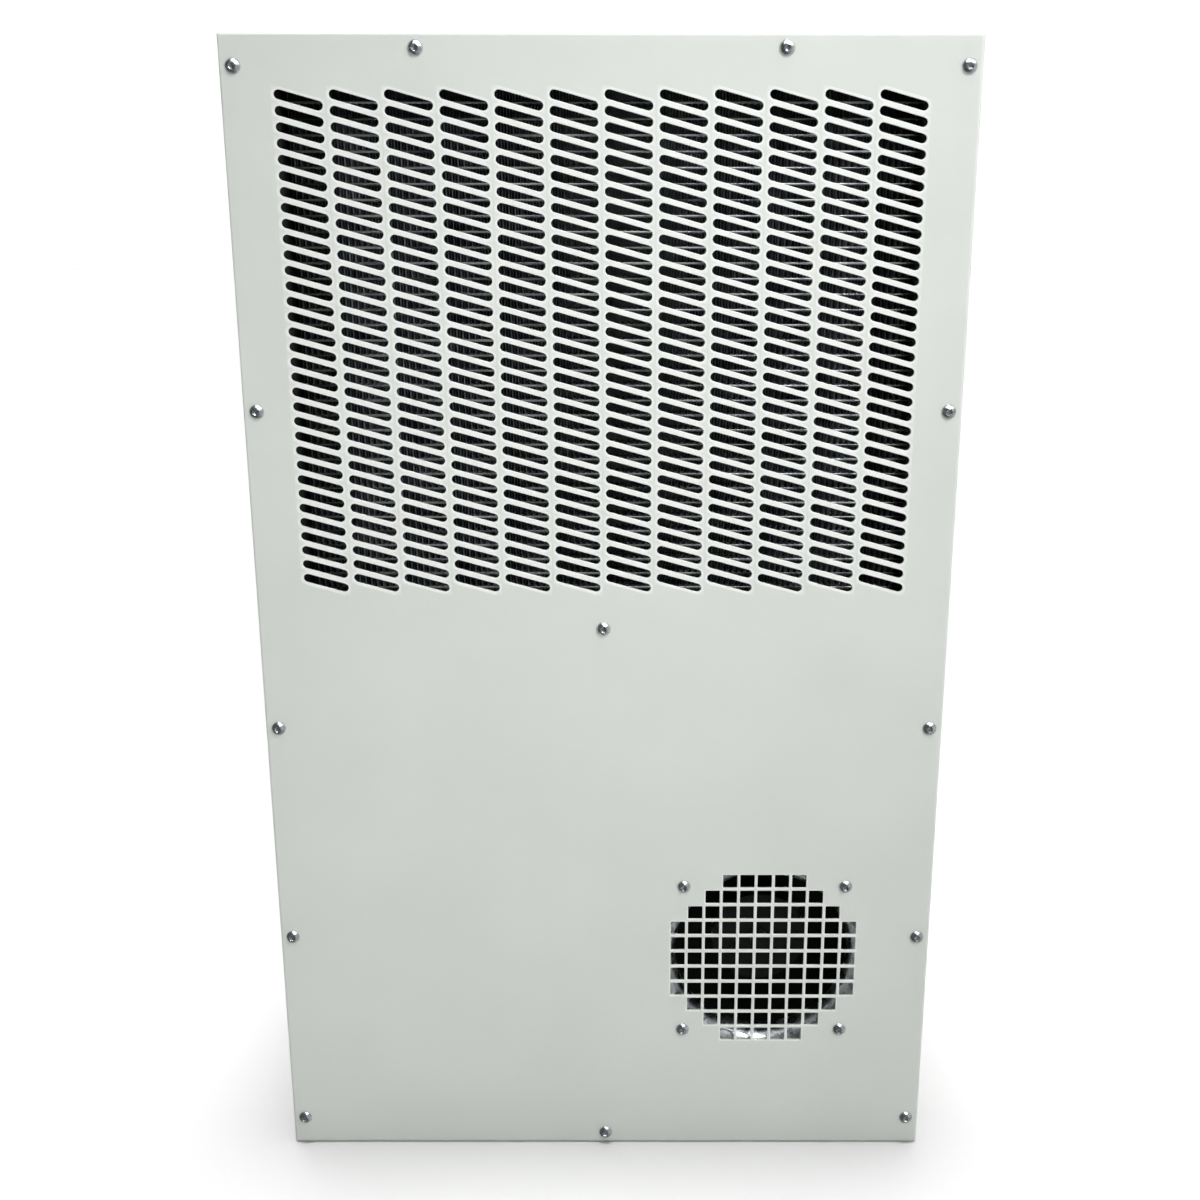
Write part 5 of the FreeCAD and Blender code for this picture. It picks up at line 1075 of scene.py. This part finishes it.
@dataclass
class Evaporator:
    """The copper and aluminium coil behind the rear slots, with its pan and drain."""

    half_width: float = 185.0
    front: float = 53.8
    depth: float = 36.0
    bottom: float = 56.0
    top: float = 329.0
    pitch: float = 2.0
    foil: float = 0.15
    end_gap: float = 1.0
    wave: float = 0.45
    waves: int = 6
    wave_steps: int = 4

    def build(self) -> None:
        """Stands thin wavy plates side by side.

        Plate i lies at x = i * pitch plus wave * sin of its way through the coil's depth.
        """
        count = int(2 * (self.half_width - self.end_gap) / self.pitch) + 1
        way = np.linspace(0, 1, self.wave_steps * self.waves + 1)
        sway = self.wave * np.sin(2 * np.pi * self.waves * way)
        places = ((np.arange(count) - (count - 1) / 2) * self.pitch)[:, None, None]
        height = np.array([self.bottom, self.top])[:, None]
        points = joined(places + sway, self.front + self.depth * way, height)
        add_fins("evaporator_fins_wavy", "evaporator_fins", points, self.foil)
        self.dress()

    def dress(self) -> None:
        """Gives the coil's solids, its pan and its drain their finishes."""
        dress_solids({
            GALVANISED: ("evaporator_end_plates", "drain_pan"),
            COPPER: ("evaporator_tubes", "evaporator_return_bends"),
            GREY_PLASTIC: ("drain_outlet",),
        })


# Machinery

class Machinery:
    """Fans, compressor, pipes and controls, whose solids keep their shapes."""

    def build(self) -> None:
        """Dresses every solid."""
        dress_solids({
            SPUN_ZINC: ("fan_inlet_rings",),
            GALVANISED: ("fan_brackets", "control_box", "control_box_lid"),
            NYLON: ("condenser_fan_impeller", "evaporator_fan_impeller", "compressor_terminal_cover",
                    "terminal_block"),
            BLACK_PAINT: ("compressor_body", "compressor_cap", "compressor_feet", "accumulator"),
            DIPPED_PAINT: ("condenser_fan_rotor", "evaporator_fan_rotor"),
            MOTOR_STEEL: ("fan_stators",),
            ROTOR_STEEL: ("compressor_rotor", "compressor_stator"),
            CAST_IRON: ("compressor_pump",),
            ZINC: ("compressor_studs", "accumulator_strap"),
            RUBBER: ("compressor_grommets",),
            COPPER: ("discharge_pipe", "liquid_pipe", "filter_drier", "evaporator_feed_pipe",
                     "suction_pipes"),
            BRASS: ("expansion_valve", "terminal_screws", "fan_bearings"),
            BOARD: ("control_board",),
            GREY_PLASTIC: ("board_relays",),
            CAN: ("run_capacitor",),
        })


# Studio

# Seamless paper, matt and nearly white, with a faint fibre.
PAPER = Finish(
    "seamless_paper_matt", ("#f2f2f2", "#f4f4f4"), drift_mm=400.0, rough=(0.85, 0.95), grain_mm=1.5,
    relief_mm=0.01)


@dataclass
class Studio:
    """Pale floor, soft light and the camera, in metres."""

    floor_radius: float = 14.0
    floor_rings: int = 9
    floor_sides: int = 64
    lens_mm: float = 42.98
    shift: float = -0.0206
    tilt: float = 15.68
    eye: Triple = (0.0137, -0.9879, 0.6537)
    near: float = 0.05  # from the eye, where the view begins
    back_sky: float = 1.1
    back_span: Pair = (0.3, 0.9)  # where, from in front to behind, the sky brightens
    backdrop: float = 1.05  # the sky that the camera sees
    front_sky: Pair = (0.12, 0.6)  # on the left and on the right
    front_span: Pair = (-0.1, 0.9)  # where, from left to right, it brightens
    key_watts: float = 1.45
    key_place: Triple = (0.48, -0.95, 1.55)
    key_aim: Triple = (0.03, -0.1, 0.5)
    key_size: float = 0.7
    key_spread: float = math.radians(48)
    card_watts: float = 26.0  # a white card that only reflections show
    card_place: Triple = (0.6, -0.2, 1.6)
    card_aim: Triple = (0.4, -0.1, 0.4)
    card_size: Pair = (2.2, 2.0)
    overhead: float = 2.4
    overhead_place: Triple = (-0.03, 0.04, 3.0)
    overhead_angle: float = math.radians(14)

    def floor(self) -> Object:
        """Lays a round floor that stays out of mirror reflections.

        Its rings have the radius floor_radius * s ** 2, where s runs evenly from 1 to 0.

        Returns:
            The floor's object.
        """
        angle = np.arange(self.floor_sides) * 2 * np.pi / self.floor_sides
        radius = (np.linspace(1, 0, self.floor_rings) ** 2 * self.floor_radius)[:, None]
        points = joined(radius * np.cos(angle), radius * np.sin(angle), 0.0)
        mesh = bpy.data.meshes.new("studio_floor")
        faces = grid_faces(1, self.floor_rings, self.floor_sides, True)
        mesh.from_pydata(points.reshape(-1, 3).tolist(), [], faces.tolist())
        mesh.materials.append(PAPER.material())
        made = add_object("studio_floor", mesh)
        made.visible_glossy = False
        return made

    def sky(self) -> None:
        """Light from all round: white behind the object, dimmer in front and dimmest on the left.

        The camera sees an even backdrop in its place.
        """
        world = bpy.data.worlds.new("studio")
        world.use_nodes = True
        bpy.context.scene.world = world
        tree = world.node_tree
        tree.nodes.clear()
        way = add_node(tree, "TexCoord").outputs["Generated"]
        parts = add_node(tree, "SeparateXYZ", {"Vector": way}).outputs
        start, end = self.front_span
        left, right = self.front_sky
        span = {"Value": parts["X"], "From Min": start, "From Max": end, "To Min": left, "To Max": right}
        front = add_node(tree, "MapRange", span).outputs["Result"]
        start, end = self.back_span
        span = {"Value": parts["Y"], "From Min": start, "From Max": end, "To Min": front,
                "To Max": self.back_sky}
        level = add_node(tree, "MapRange", span, interpolation_type="SMOOTHSTEP").outputs["Result"]
        seen = add_node(tree, "LightPath").outputs["Is Camera Ray"]
        level = add_node(tree, "Mix", {0: seen, 2: level, 3: self.backdrop}).outputs[0]
        glow = add_node(tree, "Background", {"Color": linear("#ffffff"), "Strength": level})
        add_node(tree, "OutputWorld", {"Surface": glow.outputs["Background"]})

    def lamp(self, name: str, kind: str, place: Triple, aim: Triple, **settings: object) -> Object:
        """Adds a lamp that points at a place.

        Args:
            name: The lamp's name.
            kind: Blender's lamp type.
            place: Where it stands, in metres.
            aim: What it points at, in metres.
            **settings: The lamp's own properties.

        Returns:
            The lamp.
        """
        data = bpy.data.lights.new(name, kind)
        for key, value in settings.items():
            setattr(data, key, value)
        made = add_object(name, data)
        made.location = place
        made.visible_camera = False
        way = Vector(aim) - Vector(place)
        made.rotation_euler = way.to_track_quat("-Z", "Y").to_euler()
        return made

    def keep_off(self, lamp: Object, other: Object) -> None:
        """Keeps a lamp's light off one object, as a flag on a stand does in a studio.

        Args:
            lamp: The lamp.
            other: The object that stays out of its light.
        """
        shaded = bpy.data.collections.new("shaded_from_" + lamp.name)
        shaded.objects.link(other)
        lamp.light_linking.receiver_collection = shaded
        shaded.collection_objects[0].light_linking.link_state = "EXCLUDE"

    def camera(self) -> None:
        """The camera at the photograph's place and angle."""
        data = bpy.data.cameras.new("camera")
        data.lens = self.lens_mm
        data.shift_x = self.shift
        data.clip_start = self.near
        made = add_object("camera", data)
        made.location = self.eye
        made.rotation_euler = (math.radians(90 - self.tilt), 0.0, 0.0)
        bpy.context.scene.camera = made

    def build(self) -> None:
        """Sets up floor, light and camera."""
        bpy.context.scene.view_settings.view_transform = "Standard"
        floor = self.floor()
        self.sky()
        key = self.lamp("key_softbox", "AREA", self.key_place, self.key_aim, energy=self.key_watts,
                        shape="DISK", size=self.key_size, spread=self.key_spread)
        self.keep_off(key, floor)
        width, height = self.card_size
        card = self.lamp("gloss_card", "AREA", self.card_place, self.card_aim, energy=self.card_watts,
                         shape="RECTANGLE", size=width, size_y=height)
        card.visible_diffuse = False
        self.lamp("overhead", "SUN", self.overhead_place, (0.0, 0.0, 0.0), energy=self.overhead,
                  angle=self.overhead_angle)
        self.camera()


def main() -> None:
    """Builds every sub-assembly in order; each built piece logs its faces, and each dressed solid its finish.
    """
    logging.basicConfig(level=logging.INFO, format="%(message)s")
    for part in (Casing(), Fasteners(), Condenser(), Evaporator(), Machinery(), Studio()):
        part.build()


if __name__ == "__main__":
    main()
